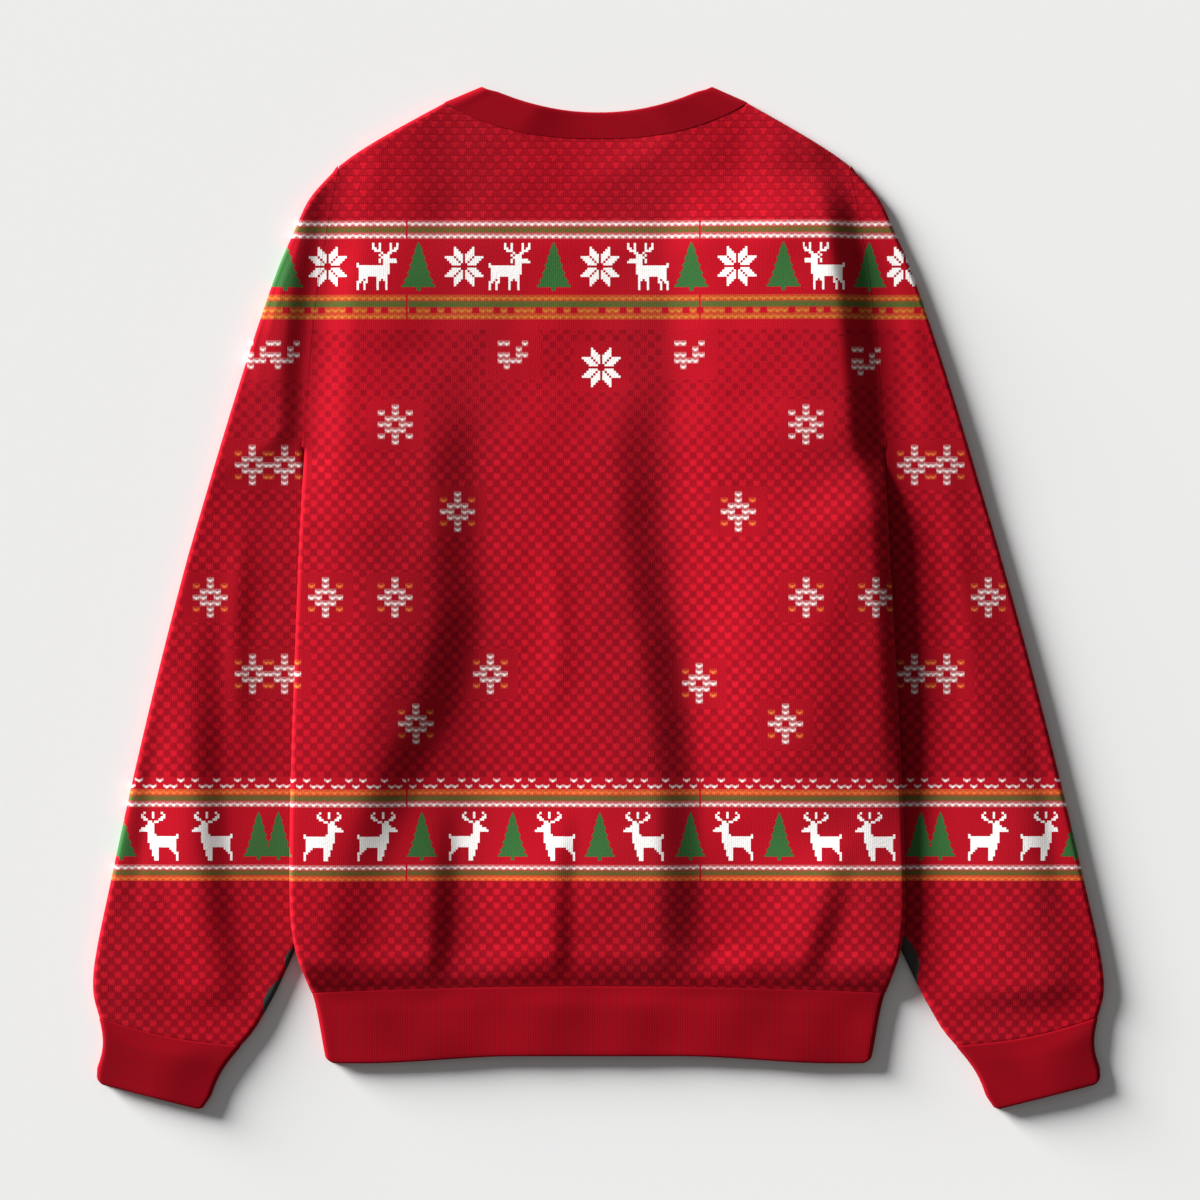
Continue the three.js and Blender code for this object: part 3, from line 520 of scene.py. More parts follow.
# %% [markdown]
# ## Back and front
# The two body panels are cut alike apart from the neck. Each is one grid: columns run from the
# hem to the shoulder or the neck, rows from side to side. The back lies `back_loft` above the
# front, and both turn to meet half way at the sides and the shoulders.

# %% Back and front
TIP_HALF = SHOULDER_TIP[0] - GAP
TIP_Y = float(shoulder_line(TIP_HALF)) - FOLD_INSET
TIP_SHIFT = SHOULDER_TIP[0] - float(body_edge(TIP_Y))  # brings the top row out to the tip

shoulder_steps = np.linspace(TIP_HALF - EDGE_RADIUS, NECK_HALF, 28)[1:-1]
half_top = np.concatenate([TIP_HALF - turn_steps(EDGE_RADIUS), shoulder_steps])
half_inset = np.concatenate([turn_steps(EDGE_RADIUS), np.full(len(shoulder_steps), EDGE_RADIUS)])
COLUMN_X = np.concatenate([-half_top, NECK_STEPS, half_top[::-1]])
COLUMN_INSET = np.concatenate([half_inset, np.full(len(NECK_STEPS), EDGE_RADIUS),
                               half_inset[::-1]])

PANEL_TALL = TIP_Y - HEM_TOP[1]
row_share = np.concatenate([SEAM_STEPS / PANEL_TALL, np.linspace(SEAM_ROLL / PANEL_TALL, 1, 232)])
ROW_SHARE = np.concatenate([row_share, np.ones(TURN_POINTS - 1)])[:, None]
ROW_INSET = np.concatenate([np.full(len(row_share), EDGE_RADIUS),
                            turn_steps(EDGE_RADIUS)[:-1][::-1]])[:, None]


def neck_clearance(x):
    """How far collar and panel each stay off the neck seam: more where it turns over."""
    return mix(NECK_GAP, GAP, smooth(NECK_HALF - np.abs(x), 2 * NECK_TURN))


def over_neck(neck, x):
    """Direction across a neck seam, in plan."""
    return unit(places(neck(x - 0.5) - neck(x + 0.5), 1.0, 0.0))


def panel(name, upper):
    """One body panel. Each point's share of the way across and up is stretched to the outline.
    It lies half way between the layers at a fold, and turns from there to its own layer."""
    neck = back_neck_seam if upper else front_neck_seam
    in_neck = np.abs(COLUMN_X) <= NECK_HALF
    top_edge = np.where(in_neck, neck(COLUMN_X), shoulder_line(np.abs(COLUMN_X)) - FOLD_INSET)
    foot_x = COLUMN_X / (TIP_HALF - COLUMN_INSET) * (HEM_TOP[2] - GAP - HALF_WALL - COLUMN_INSET)
    side_y = mix(HEM_TOP[1] + GAP, TIP_Y - ROW_INSET, ROW_SHARE)
    folded = 1 - rounded(side_y - ARMPIT[1], EDGE_RADIUS)  # 1 at the side, 0 at the armhole
    half_width = body_edge(side_y) - GAP - HALF_WALL * folded * (side_y < TIP_Y - EDGE_RADIUS)
    y = mix(hem_seam(foot_x) + GAP, top_edge - ROW_INSET, ROW_SHARE)
    x = COLUMN_X / (TIP_HALF - COLUMN_INSET) * (half_width + TIP_SHIFT * ROW_SHARE - COLUMN_INSET)
    from_edge = np.minimum(np.minimum(body_edge(y) - np.abs(x), y - hem_seam(x)), top_edge - y)
    calm = smooth(from_edge - 3, 22)
    loft = back_loft(x, y)
    low = body_lift(x, y) + HALF_WALL
    high = low + loft
    level = (low + high) / 2
    if upper:
        fine = crease_height(BACK_CREASES, x, y) + waviness(x, y)
        high = high + np.maximum(TIGHTEST - loft, fine) * calm
    else:
        low = low + np.maximum(0, crease_height(FRONT_CREASES, x, y)) * calm
    turn = body_turn(x, y, top_edge)
    z = mix(level, high if upper else low, turn)
    z = np.maximum(z, level + GAP) if upper else np.minimum(z, level - GAP)
    middle = places(x, y, z)
    neck_x = COLUMN_X[in_neck]
    middle[-1, in_neck] -= over_neck(neck, neck_x) * neck_clearance(neck_x)[:, None]

    row = np.arange(len(y))[:, None]
    top_row = row == len(y) - 1
    edge_column = np.abs(COLUMN_X) == TIP_HALF
    seams = [
        where_vector(row == 0, Y),
        where_vector(top_row & in_neck, over_neck(neck, COLUMN_X)),
        where_vector(top_row & (np.abs(COLUMN_X) >= NECK_HALF), Z),
        where_vector(edge_column & (y > ARMPIT[1]), X),
        where_vector(edge_column & (y <= ARMPIT[1]), Z),
    ]
    near_top = (row >= len(y) - TURN_POINTS) & in_neck
    pinch = mix(PINCH, 1, rounded(NECK_HALF - np.abs(COLUMN_X), NECK_TURN))
    roll = seam_roll(y - hem_seam(x))
    wrap = places(np.sign(COLUMN_X) * round_the_fold(COLUMN_INSET),
                  np.where(in_neck, 0, round_the_fold(ROW_INSET)))
    return cloth(name, middle, CLOTH, side=1 if upper else -1, seams=seams,
                 kept=np.where(near_top, pinch, 1.0), outer_share=roll, wrap=wrap)


back = panel("back_panel", True)
front = panel("front_panel", False)

# %% [markdown]
# ## Flattened tubes
# Sleeves, cuffs and the hem band are tubes that lie flat: a ring of points goes across the
# upper layer from one fold to the other, round the fold, and back across the lower layer. The
# same ring serves all of them, with its points crowded at the two folds.

# %% Flattened tubes
def and_back(values):
    """The values, and then back again without the two ends: once round a ring."""
    return np.concatenate([values, values[1:-1][::-1]])


def ring_points(flat):
    """Share across (0 or 1 at a fold), share of the fold's turn, and upper (1) or lower (-1)."""
    turn = turn_steps(1.0)
    between = np.arange(1, flat) / flat
    share = np.concatenate([np.zeros(TURN_POINTS), between, np.ones(TURN_POINTS)])
    turns = np.concatenate([turn, np.ones(flat - 1), turn[::-1]])
    upper = np.where(np.arange(2 * len(share) - 2) < len(share), 1, -1)
    return and_back(share), and_back(turns), upper


EVEN_DEPTHS = (EDGE_RADIUS, EDGE_RADIUS)


def ring_across(ring, wide, depths=EVEN_DEPTHS):
    """Share of the way across for each ring point, where the folds turn in the given depths."""
    share, turns, _ = ring
    a, b = (np.minimum(0.45, depth / wide) for depth in depths)
    inside = mix(a, 1 - b, share)
    return np.where(share == 0, turns * a, np.where(share == 1, 1 - turns * b, inside))


def ring_turn(across, wide, depths=EVEN_DEPTHS):
    """How far a tube has turned over: 0 at either fold, 1 where it lies flat."""
    return np.minimum(rounded(across * wide, depths[0]), rounded((1 - across) * wide, depths[1]))


def fold_walls(ring):
    """At a ring's two folds the wall is level; and the inner half is pinched inside the turn."""
    turns = ring[1]
    return where_vector(turns == 0, Z), mix(PINCH, 1, turns)


print("points round a sleeve:", len(ring_points(60)[0]))

# %% [markdown]
# ## Sleeves
# A sleeve's plan is a patch between four curves: its outer fold, its inner fold, the armhole
# seam and the cuff seam. The blend of opposite sides, less the blend of the corners, fills it
# without a bump. The inner fold runs in under the body and out again to the armpit.

# %% Sleeves
CUFF_AXIS = unit(np.array([-0.2, 0.98, 0.0]))  # from the right cuff to its armhole
TIP_FOLD_Y = SHOULDER_TIP[1] - FOLD_INSET


def cuff_seam(over):
    """Seam between right sleeve and cuff, from its outer end, 0, to its inner end, 1."""
    bow = 4 * np.sin(np.pi * over)
    return places(mix(CUFF_TOP[0][0] - SLEEVE_INSET, CUFF_TOP[1][0] + HALF_WALL, over) + bow / 4,
                  mix(CUFF_TOP[0][1], CUFF_TOP[1][1], over) - bow)


CUFF_WIDE = float(np.hypot(*(cuff_seam(0.0) - cuff_seam(1.0))))


def sleeve_plan(over, down):
    """Plan of the right sleeve: over from the outer fold to the inner, down from the armhole."""
    over, down = np.broadcast_arrays(over, down)
    top = down == 0
    outer_y = mix(TIP_FOLD_Y, CUFF_TOP[0][1], down)
    inner_y = mix(ARMPIT[1], CUFF_TOP[1][1], down ** 2.4)
    seam_y = mix(TIP_FOLD_Y, ARMPIT[1], over)
    tip, armpit = np.array([float(body_edge(TIP_FOLD_Y)), TIP_FOLD_Y]), np.array(ARMPIT)
    outer = places(np.where(top, tip[0], sleeve_outer(outer_y) - SLEEVE_INSET), outer_y)
    inner = places(np.where(top, ARMPIT[0], sleeve_inner(inner_y) + HALF_WALL), inner_y)
    armhole, cuff_end = places(body_edge(seam_y), seam_y), cuff_seam(over)
    over, down = over[..., None], down[..., None]
    corners = mix(mix(tip, armpit, over), mix(cuff_seam(0.0), cuff_seam(1.0), over), down)
    return mix(outer, inner, over) + mix(armhole, cuff_end, down) - corners


def fold_slant(over, down):
    """Sine of the angle at which a row across the sleeve meets its outer (0) or inner (1) fold."""
    step = 0.01  # of the sleeve's length, to either side
    fold = unit(sleeve_plan(over, clamp01(down + step)) - sleeve_plan(over, clamp01(down - step)))
    row = unit(sleeve_plan(1.0, down) - sleeve_plan(0.0, down))
    return np.maximum(0.2, np.abs(fold[..., 0] * row[..., 1] - fold[..., 1] * row[..., 0]))


SLEEVE_LONG = TIP_FOLD_Y - CUFF_TOP[0][1]
SLEEVE_CREASES = {
    "left": [(1.5, (15, 40), [(-224, 285), (-230, 234), (-243, 150)]),
             (-1.2, (9, 12), [(-330, -60), (-345, -160), (-352, -250)]),
             (1.2, (9, 9), [(-262, 60), (-270, -30), (-268, -120)])],
    "right": [(1.2, (10, 12), [(262, 90), (276, 0), (288, -110)]),
              (-1.0, (10, 10), [(330, -60), (342, -150), (352, -240)])],
}


# mm over which a sleeve rises from the body's side, beside the armhole and farther down
CLEAR_RUN = {"left": (18, 120), "right": (60, 125)}
CROWN = {"left": (0.5, 60), "right": (3.6, 45)}  # its rise, and mm to it from the outer fold
CUFF_SWELL = 0.9  # how far the fleece puffs up above the cuff
LOWER_SHARE = 0.8  # how deep the lower layer's creases are, as a share of the upper one's
SLEEVE_ROWS = 210
# unprinted strips along the inner folds: y from and to, width in mm
BARE_STRIPS = {"left": [(-284, -260, 4.5), (-318, -284, 6)], "right": [(-296, -242, 10)]}
STRIP_START = 0.6  # mm in from the fold where a strip begins to show


def sleeve(name, side):
    """One sleeve. Its middle is the lift, half a wall and half the loft above the table; the
    other half of the loft, x how far it has turned, goes up on the upper layer, down below."""
    # the plan: rows of rings, from the armhole down to the cuff
    mirror = -1 if side == "left" else 1
    ring = ring_points(60)
    steps_in, roll_in = SEAM_STEPS / SLEEVE_LONG, SEAM_ROLL / SLEEVE_LONG
    down = np.concatenate([steps_in, np.linspace(roll_in, 1 - roll_in, SLEEVE_ROWS),
                           1 - steps_in[::-1]])[:, None]
    row = sleeve_plan(1.0, down) - sleeve_plan(0.0, down)
    wide = np.hypot(row[..., 0], row[..., 1])
    squared = smooth(down - 0.97, 0.03)  # the last rows meet both folds square
    depths = [EDGE_RADIUS / mix(fold_slant(over, down), 1, squared) for over in (0.0, 1.0)]
    over = ring_across(ring, wide, depths)
    x, y = np.moveaxis(sleeve_plan(over, down), -1, 0)
    turn = ring_turn(over, wide, depths)
    # the heights: it rises clear of the body's side, and its last twentieth flattens out
    before_cuff = smooth((1 - down) * 20)
    at_cuff = smooth((1 - down) * 60) * (1 - smooth((1 - down) * 24 - 0.4))
    outside = x - body_edge(y)
    clear_run = mix(*CLEAR_RUN[side], smooth(130 - y, 70))
    clear = smooth(outside - 3, clear_run) * before_cuff
    loft = mix(mix(EDGE_LOFT, PRESSED, before_cuff), LOFT, clear)
    crown_rise, crown_run = CROWN[side]
    crown = crown_rise * smooth(over * wide - 2, crown_run) * before_cuff
    fold = folds_height(SLEEVE_FOLDS[side], mirror * x, y)
    lift = (crown + CUFF_SWELL * at_cuff) * clear + fold * before_cuff * smooth(outside - 12, 20)
    # its creases, deeper on the upper layer than on the lower, and none at the edges
    from_fold = np.minimum(over, 1 - over) * wide
    calm = before_cuff * smooth(outside - 6, 24) * smooth(from_fold - 3, 20)
    fine = crease_height(SLEEVE_CREASES[side], mirror * x, y) + waviness(mirror * x, y)
    upper = ring[2] > 0
    loft = loft + np.where(upper, np.maximum(TIGHTEST - loft, fine), 0) * calm
    lift = lift + np.where(upper, 0, np.maximum(0, fine)) * calm * LOWER_SHARE
    # the middle of the cloth, its seams, and its unprinted strip
    seam_shift = (GAP + HALF_WALL * (1 - turn)) * (1 - smooth(down * SLEEVE_LONG, 5))
    z = lift + HALF_WALL + loft / 2 * (1 + ring[2] * turn)
    middle = places(mirror * (x + seam_shift), y, z)
    axis = CUFF_AXIS * [mirror, 1, 1]
    middle[-1] += axis * GAP
    walls, kept = fold_walls(ring)
    seams = [where_vector(down == 0, X), where_vector(down == 1, axis), walls]
    roll = seam_roll((1 - down) * SLEEVE_LONG)
    wrap_x = np.where(over < 0.5, mirror, -mirror) * round_the_fold(ring[1] * EDGE_RADIUS)
    strip = 0
    for low, high, width in BARE_STRIPS[side]:  # pointed at both ends
        share = (y - low) / (high - low)
        strip = strip + width * smooth(2.2 * share) * smooth(2.2 * (1 - share))
    return cloth(name, middle, CLOTH, closed=True, side=mirror, seams=seams, kept=kept,
                 outer_share=roll, wrap=places(wrap_x, 0),
                 bare=strip - STRIP_START - (1 - over) * wide)


sleeve_right = sleeve("sleeve_right_cloth", "right")
sleeve_left = sleeve("sleeve_left_cloth", "left")

# %% [markdown]
# ## Cuffs and hem band
# These are rib, knitted double and folded over, so they are a little thicker than the fleece
# and their free edges are round. They are drawn in between seam and free edge.

# %% Cuffs
BAND_LOFT = EDGE_LOFT - 0.3


def rib_creases(x, y):
    """The rib's own slight unevenness: two crossing waves of a few tenths of a millimetre."""
    return 0.4 * np.sin(x / 17.0 + y / 23 + 0.7) * np.sin(x / 29 - y / 13 + 1.9)


def rib_tube(name, side, tall, ring, down, plan, turn, full, wavy, seam, knit):
    """A flattened tube of rib over a plan (x, y), `tall` from seam to free edge. full is how
    much farther apart than usual its layers lie, wavy its share of the unevenness, and seam
    the direction across its seam."""
    x, y = plan
    uneven = rib_creases(x, y) * smooth(down * 4) * wavy * (ring[2] > 0)
    z = RIB / 2 + (BAND_LOFT + full) / 2 * (1 + ring[2] * turn) + uneven
    walls, kept = fold_walls(ring)
    return cloth(name, places(x, y, z), RIB, closed=True, side=side,
                 seams=[where_vector(down == 0, seam), walls], kept=kept, knit=knit,
                 outer_share=seam_roll(down * tall), edge_share=rounded_end(down, tall, RIB))


CUFF_TALL = 50.0
CUFF_WAIST = 3.5  # how far the elastic rib draws in on either side, halfway down
CORNER = 5.0  # radius of a cuff's corners in plan; the hem band's are a little larger


def cuff(name, side):
    """One cuff: seam to free edge in proportion, drawn in by a sine arch, its corners cut by a
    quarter circle."""
    mirror = -1 if side == "left" else 1
    ring = ring_points(50)
    down = band_rows(20, CUFF_TALL, RIB)[:, None]
    share = ring_across(ring, CUFF_WIDE)
    turn = ring_turn(share, CUFF_WIDE)
    seam_x, seam_y = np.moveaxis(cuff_seam(share), -1, 0)
    end_x = mix(CUFF_FOOT[0][0] - RIB / 2, CUFF_FOOT[1][0] + RIB / 2, share)
    end_y = mix(CUFF_FOOT[0][1], CUFF_FOOT[1][1], share)
    waist = CUFF_WAIST * np.sin(np.pi * np.minimum(1, down * 1.25))
    pull = waist * np.sign(share - 0.5) * np.abs(1 - 2 * share) ** 3
    from_side = np.minimum(share, 1 - share) * CUFF_WIDE
    corner = CORNER * down ** 4 * (1 - rounded(from_side, CORNER))
    axis = CUFF_AXIS * [mirror, 1, 1]
    x = mirror * (mix(seam_x, end_x, down) + pull) - axis[0] * GAP * (down == 0)
    y = mix(seam_y, end_y, down) + corner - axis[1] * GAP * (down == 0)
    full = np.sin(np.pi * share) * smooth(down * 3)
    knit = (share * CUFF_WIDE + round_the_fold(ring[1] * EDGE_RADIUS), -down * CUFF_TALL)
    return rib_tube(name, mirror, CUFF_TALL, ring, down, (x, y), turn, full, turn, axis, knit)


cuff_right = cuff("cuff_right_rib", "right")
cuff_left = cuff("cuff_left_rib", "left")

# %% Hem band
HEM_TALL = HEM_TOP[0] - HEM_FOOT[0]


def hem_band(name):
    """The hem band: across in proportion to its half width, down in proportion from the hem seam
    to the free edge, its corners cut as a cuff's are."""
    ring = ring_points(170)
    down = band_rows(21, HEM_TALL, RIB)[:, None]
    half = mix(HEM_TOP[2], HEM_FOOT[2], down ** 0.7) - RIB / 2
    x = mix(-half, half, ring_across(ring, 2 * half))
    inside = half - np.abs(x)
    corner = (CORNER + 1) * down ** 4 * (1 - rounded(inside, CORNER + 1))
    y = mix(hem_seam(x) - GAP, hem_end(x), down) + corner
    turn, wavy = rounded(inside, EDGE_RADIUS), smooth(inside, 20)
    full = smooth(inside, 60) * smooth(down * 3)
    return rib_tube(name, -1, HEM_TALL, ring, down, (x, y), turn, full, wavy, Y, (x, y))


hem = hem_band("hem_rib")

# %% [markdown]
# ## Collar
# One ring of rib that stands on both neck seams: the back half lies on the front half, and the
# two fold over into each other on the slanting shoulder line.

# %% Collar
PEAK_ROUND = 1.8  # the peak's tip is this much lower than its curves would meet


def collar(name):
    """The collar: from the neck seam to the free edge in proportion, once round both necklines.
    At the shoulder fold its two layers meet half way."""
    x = and_back(NECK_STEPS)
    upper = np.arange(len(x)) < len(NECK_STEPS)
    seam = np.where(upper, back_neck_seam(x), front_neck_seam(x))
    from_fold = NECK_HALF - np.abs(x)
    turn = rounded(from_fold, NECK_TURN)
    free_x = x / NECK_HALF * (NECK_PEAK[0] - RIB / 2)
    free_y = np.where(upper, back_neck_free(free_x), front_neck_free(free_x))
    free_y = free_y - PEAK_ROUND * (1 - smooth(from_fold, 16))
    over_front = over_neck(front_neck_seam, x)
    across = np.where(upper[:, None], over_neck(back_neck_seam, x), over_front)
    across = np.where((from_fold == 0)[:, None], unit(across + over_front), across)
    start = places(x, seam) + across[:, :2] * neck_clearance(x)[:, None]
    up = band_rows(9, COLLAR_DEPTH, RIB)[:, None]
    plan = mix(start, places(free_x, free_y), up[..., None])
    settled = np.maximum(NECK_GAP, back_loft(x, back_neck_seam(x)) - NECK_GAP)
    loft = np.where(upper, mix(COLLAR_LOFT, settled, smooth(from_fold, 12)), 0)
    z = RIB / 2 + mix(COLLAR_LOFT / 2, loft, turn)
    along = np.cumsum(np.hypot(*np.diff(start, axis=0, prepend=start[:1]).T))
    return cloth(name, places(plan[..., 0], plan[..., 1], z), RIB, closed=True,
                 seams=[where_vector(up == 0, across), where_vector(turn == 0, Z)],
                 kept=mix(PINCH, 1, turn), edge_share=rounded_end(up, COLLAR_DEPTH, RIB),
                 knit=(along, up * COLLAR_DEPTH))


neck_rib = collar("collar_rib")

# %% [markdown]
# ## Putting the pieces on the part
# Each piece stands for one solid of the part, rides on its only body and takes its finish from
# one of its two slots.

# %% Putting the pieces on the part
CUTS = [  # piece, solid, slot, cut width and length in metres, area in square metres
    (back, "back", "printed_fleece", (0.466, 0.675), 0.292),
    (front, "front", "printed_fleece", (0.466, 0.675), 0.286),
    (sleeve_right, "sleeve_right", "printed_fleece", (0.290, 0.680), 0.141),
    (sleeve_left, "sleeve_left", "printed_fleece", (0.290, 0.680), 0.141),
    (cuff_right, "cuff_right", "rib_knit", (0.215, 0.050), 0.0097),
    (cuff_left, "cuff_left", "rib_knit", (0.215, 0.050), 0.0097),
    (hem, "hem_band", "rib_knit", (0.875, 0.053), 0.046),
    (neck_rib, "collar", "rib_knit", (0.530, 0.022), 0.0116),
]
for piece, solid, slot, cut, area in CUTS:
    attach(piece, "root")
    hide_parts(solid)
    corners = np.array([c[:] for c in piece.bound_box])
    low, high = (np.array(c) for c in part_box(solid))
    print(piece.name, "differs from its solid's box by, mm:",
          ((corners.min(0) - low) / MM).round(1), ((corners.max(0) - high) / MM).round(1))

# %% [markdown]
# ## Where the print's figures go
# The knitted look is printed on, so it lies on the cloth as it was laid flat and doesn't turn
# with the seams. Each figure is drawn from a small chart, like a knitter's, and all charts
# share one sheet. A second UV map, "figure", says for each corner of a face where on that sheet
# it lies. A face belongs to the nearest figure, and turning a deer round is a change of sign.

# %% Where the print's figures go
# Each chart: top row and middle column on the sheet, columns, rows, and the size of a cell.
CHARTS = {
    "star": (3, 11.5, 17, 17, (1.72, 1.76)),
    "flake": (23, 5.5, 5, 7, (5.3, 4.42)),
    "white flake": (23, 11.5, 5, 7, (5.3, 4.42)),
    "tall deer": (35, 12.5, 19, 21, (1.66, 1.7)),
    "broken flake": (58, 5.5, 5, 5, (4.6, 4.4)),
    "slim deer": (67, 12.0, 18, 22, (1.68, 1.68)),
    "wide tree": (67, 60.0, 18, 26, (1.45, 1.42)),
    "narrow tree": (67, 60.0, 18, 26, (1.27, 1.4)),
}
# Each row of figures: the chart, 1 or -1 when it is turned round, the row's y, and each one's x.
UPPER_Y, LOWER_Y = 251.0, -181.0  # middles of the two figure bands
FIGURE_ROWS = [
    ("wide tree", 1, UPPER_Y, (-237.5, -136.5, -34, 70.5, 140, 205.5)),
    ("star", 1, UPPER_Y, (-205.5, -102, 1, 105, 232)),
    ("tall deer", 1, UPPER_Y, (-167.5, -67.5)), ("tall deer", -1, UPPER_Y, (37.5, 170)),
    ("slim deer", -1, LOWER_Y, (-333.5, -293, -33, 34, 102, 169, 209.5)),
    ("slim deer", 1, LOWER_Y, (-208, -167.5, -98.5, 295.5, 335)),
    ("narrow tree", 1, LOWER_Y,
     (-362, -258, -243, -134, -65, 1, 69.5, 137, 244.5, 259.5, 362)),
    ("star", 1, 174.5, (2,)), ("white flake", 1, 131, (-154, 157)),
    ("flake", 1, 100.5, (-262.7, -238.3, 239.8, 264.2)),
    ("flake", 1, 65, (-107, 106)), ("flake", 1, -65, (76.5,)),
    ("flake", 1, 0, (-294.5, -206.5, -154, 157, 209.5, 295.5)),
    ("flake", 1, -58, (-262.7, -238.3, -82, 239.8, 264.2)),
    ("flake", 1, -95.5, (-138.5, 141.5)),
    ("broken flake", 1, 184, (-259, -238.5, -65, 69)), ("broken flake", 1, 179, (202.5,)),
]
FIGURES = [(kind, way, x, y) for kind, way, y, spots in FIGURE_ROWS for x in spots]
PLAIN_ROUND = (21.0, 19.0)  # half width and height of the plain ground round a flake or star
NO_FIGURE = -5.0  # a place off the sheet of charts
FAR_OUT = 99.0  # mm outside any plain ground


def chart_on(piece):
    """Gives a printed piece its "figure" map, and the distance out of the plain plots."""
    mesh = piece.data
    count = len(mesh.polygons)
    laid = np.empty(count * 8)
    mesh.uv_layers["laid"].data.foreach_get("uv", laid)
    laid = laid.reshape(count, 4, 2) / MM
    centre = laid.mean(axis=1)
    figure = np.full((count, 4, 2), NO_FIGURE)
    nearest = np.full(count, np.inf)
    plot = np.full((count, 4), FAR_OUT)
    for kind, way, x, y in FIGURES:
        top, middle, columns, rows, cell = CHARTS[kind]
        far = np.abs(centre - (x, y))
        beyond = (far - (columns * cell[0] / 2, rows * cell[1] / 2)).max(axis=1)
        distance = np.hypot(*far.T)
        mine = (beyond < 2) & (distance < nearest)
        nearest[mine] = distance[mine]
        offset = laid[mine] - (x, y)
        figure[mine] = places(middle + way * offset[..., 0] / cell[0],
                              top + rows / 2 - offset[..., 1] / cell[1])
        if "flake" in kind or (kind == "star" and y < 200):
            plot = np.minimum(plot, (np.abs(laid - (x, y)) - PLAIN_ROUND).max(axis=2))
    mesh.uv_layers.new(name="figure").data.foreach_set("uv", figure.ravel())
    add_numbers(mesh, "plot", "CORNER", plot)
    print(piece.name, "has", int((nearest < np.inf).sum()), "faces under figures")


for piece in (back, front, sleeve_right, sleeve_left):
    chart_on(piece)

# %% [markdown]
# ## The charts
# A cross is a stitch in the figure's own ink, an o one in orange. Deer, stars and snowflakes
# like these have been knitted in the north for centuries; these were drawn for this piece, one
# cell at a time. Star and snowflake are the same in all four quarters, so the upper left one
# is enough. A tree is only a list of half widths, from its tip to its foot.

# %% The charts
def mirrored(quarter):
    """A whole chart: each row of its quarter there and back, and then the rows back too."""
    rows = [row + row[-2::-1] for row in quarter.split()]
    return "\n".join(rows + rows[-2::-1])


STAR = mirrored("""
....x....
....xx...
....xxx..
....xxxx.
xxxx.xxx.
.xxxx.xx.
..xxxx.x.
...xxxx..
.........""")
FLAKE = mirrored("""
..x
o.x
.xx
xx.""")
BROKEN_FLAKE = """
xx..x
...x.
xx.xx
xxxx.
.x..."""
TALL_DEER = """
.......x..x....x..x
.......x..x....x..x
.......xx.x....x.xx
........xxx....xxx.
..........xx..xx...
............xxx....
..........xxxxx....
............xxxxxx.
............xxxxxxx
x...........xxx....
xxxxxxxxxxxxxxx....
.xxxxxxxxxxxxxx....
.xxxxxxxxxxxxxx....
.xxxxxxxxxxxxxx....
.xxxxxxxxxxxxx.....
.xxxx....xxxxx.....
.xx.x....xx.xx.....
xx.xx....x...x.....
x..x.....x...x.....
x..x.....x...x.....
x..x.....x...x....."""
SLIM_DEER = """
.......x...x...x..
......x....x....x.
......xx...x...xx.
.......xx.....xx..
.........xx.xx....
..........xxxx....
..........xxxxx...
..........xxxxxxx.
..........xxxxxxxx
..........xxxx....
x.........xxxx....
xxxxxxxxxxxxxx....
.xxxxxxxxxxxxx....
.xxxxxxxxxxxxx....
.xxxxxxxxxxxx.....
.xxxxxxxxxxxx.....
.xxx.....xxxx.....
.xx......xxx......
xx.......xxx......
x........xxx......
x........xx.......
x........xx......."""
TREE_HALF_WIDTHS = [0.4, 0.9, 1.3, 1.7, 2.3, 1.9, 2.4, 3.0, 3.6, 3.0, 3.5, 4.1, 4.8, 4.0, 4.6, 5.3,
                    6.1, 5.2, 5.9, 6.7, 7.6, 6.9, 8.0, 8.9, 1.1, 1.0]


SHEET_ROWS, RAMP_ROWS = 96, 32  # rows of the sheet, and how many fit in one colour ramp
CHARTS_RIGHT, TREE_LEFT = 26.0, 30.0  # columns where the charts end and the tree's half begins
white_rows, orange_rows, tree_rows = np.zeros((3, SHEET_ROWS))


def mark_rows(rows, kind, lines, mark):
    """Puts a chart on the sheet: bit c of a row's number says whether its column c is marked."""
    top, middle = CHARTS[kind][:2]
    first = round(middle - len(lines[0]) / 2)
    for r, line in enumerate(lines):
        rows[top + r] += sum(2 ** (first + c) for c, cell in enumerate(line) if cell == mark)


for kind, chart in (("star", STAR), ("flake", FLAKE), ("white flake", FLAKE.replace("o", "x")),
                    ("broken flake", BROKEN_FLAKE), ("tall deer", TALL_DEER),
                    ("slim deer", SLIM_DEER)):
    mark_rows(white_rows, kind, chart.split(), "x")
    mark_rows(orange_rows, kind, chart.split(), "o")
tree_top = CHARTS["wide tree"][0]
tree_rows[tree_top:tree_top + len(TREE_HALF_WIDTHS)] = TREE_HALF_WIDTHS
print("stitches in the star:", STAR.count("x"), "in a deer:", TALL_DEER.count("x"))

# %% [markdown]
# ## Writing patterns as sums
# A pattern in a material is arithmetic on a place: which cell of the grid am I in, and where in
# it. Dozens of Math nodes joined by hand are hard to read, so `Wire` holds one number on its way
# through the nodes and adds a Math node whenever it meets a plus, a times or a comparison.

# %% Writing patterns as sums
def add_node(tree, kind, inputs, **settings):
    """A new node. Each of its inputs is given a number, a colour, or what it is joined to."""
    node = tree.nodes.new("ShaderNode" + kind)
    for setting, value in settings.items():
        setattr(node, setting, value)
    for slot, value in inputs.items():
        value = getattr(value, "socket", value)
        if isinstance(value, bpy.types.NodeSocket):
            tree.links.new(value, node.inputs[slot])
        else:
            node.inputs[slot].default_value = value
    return node


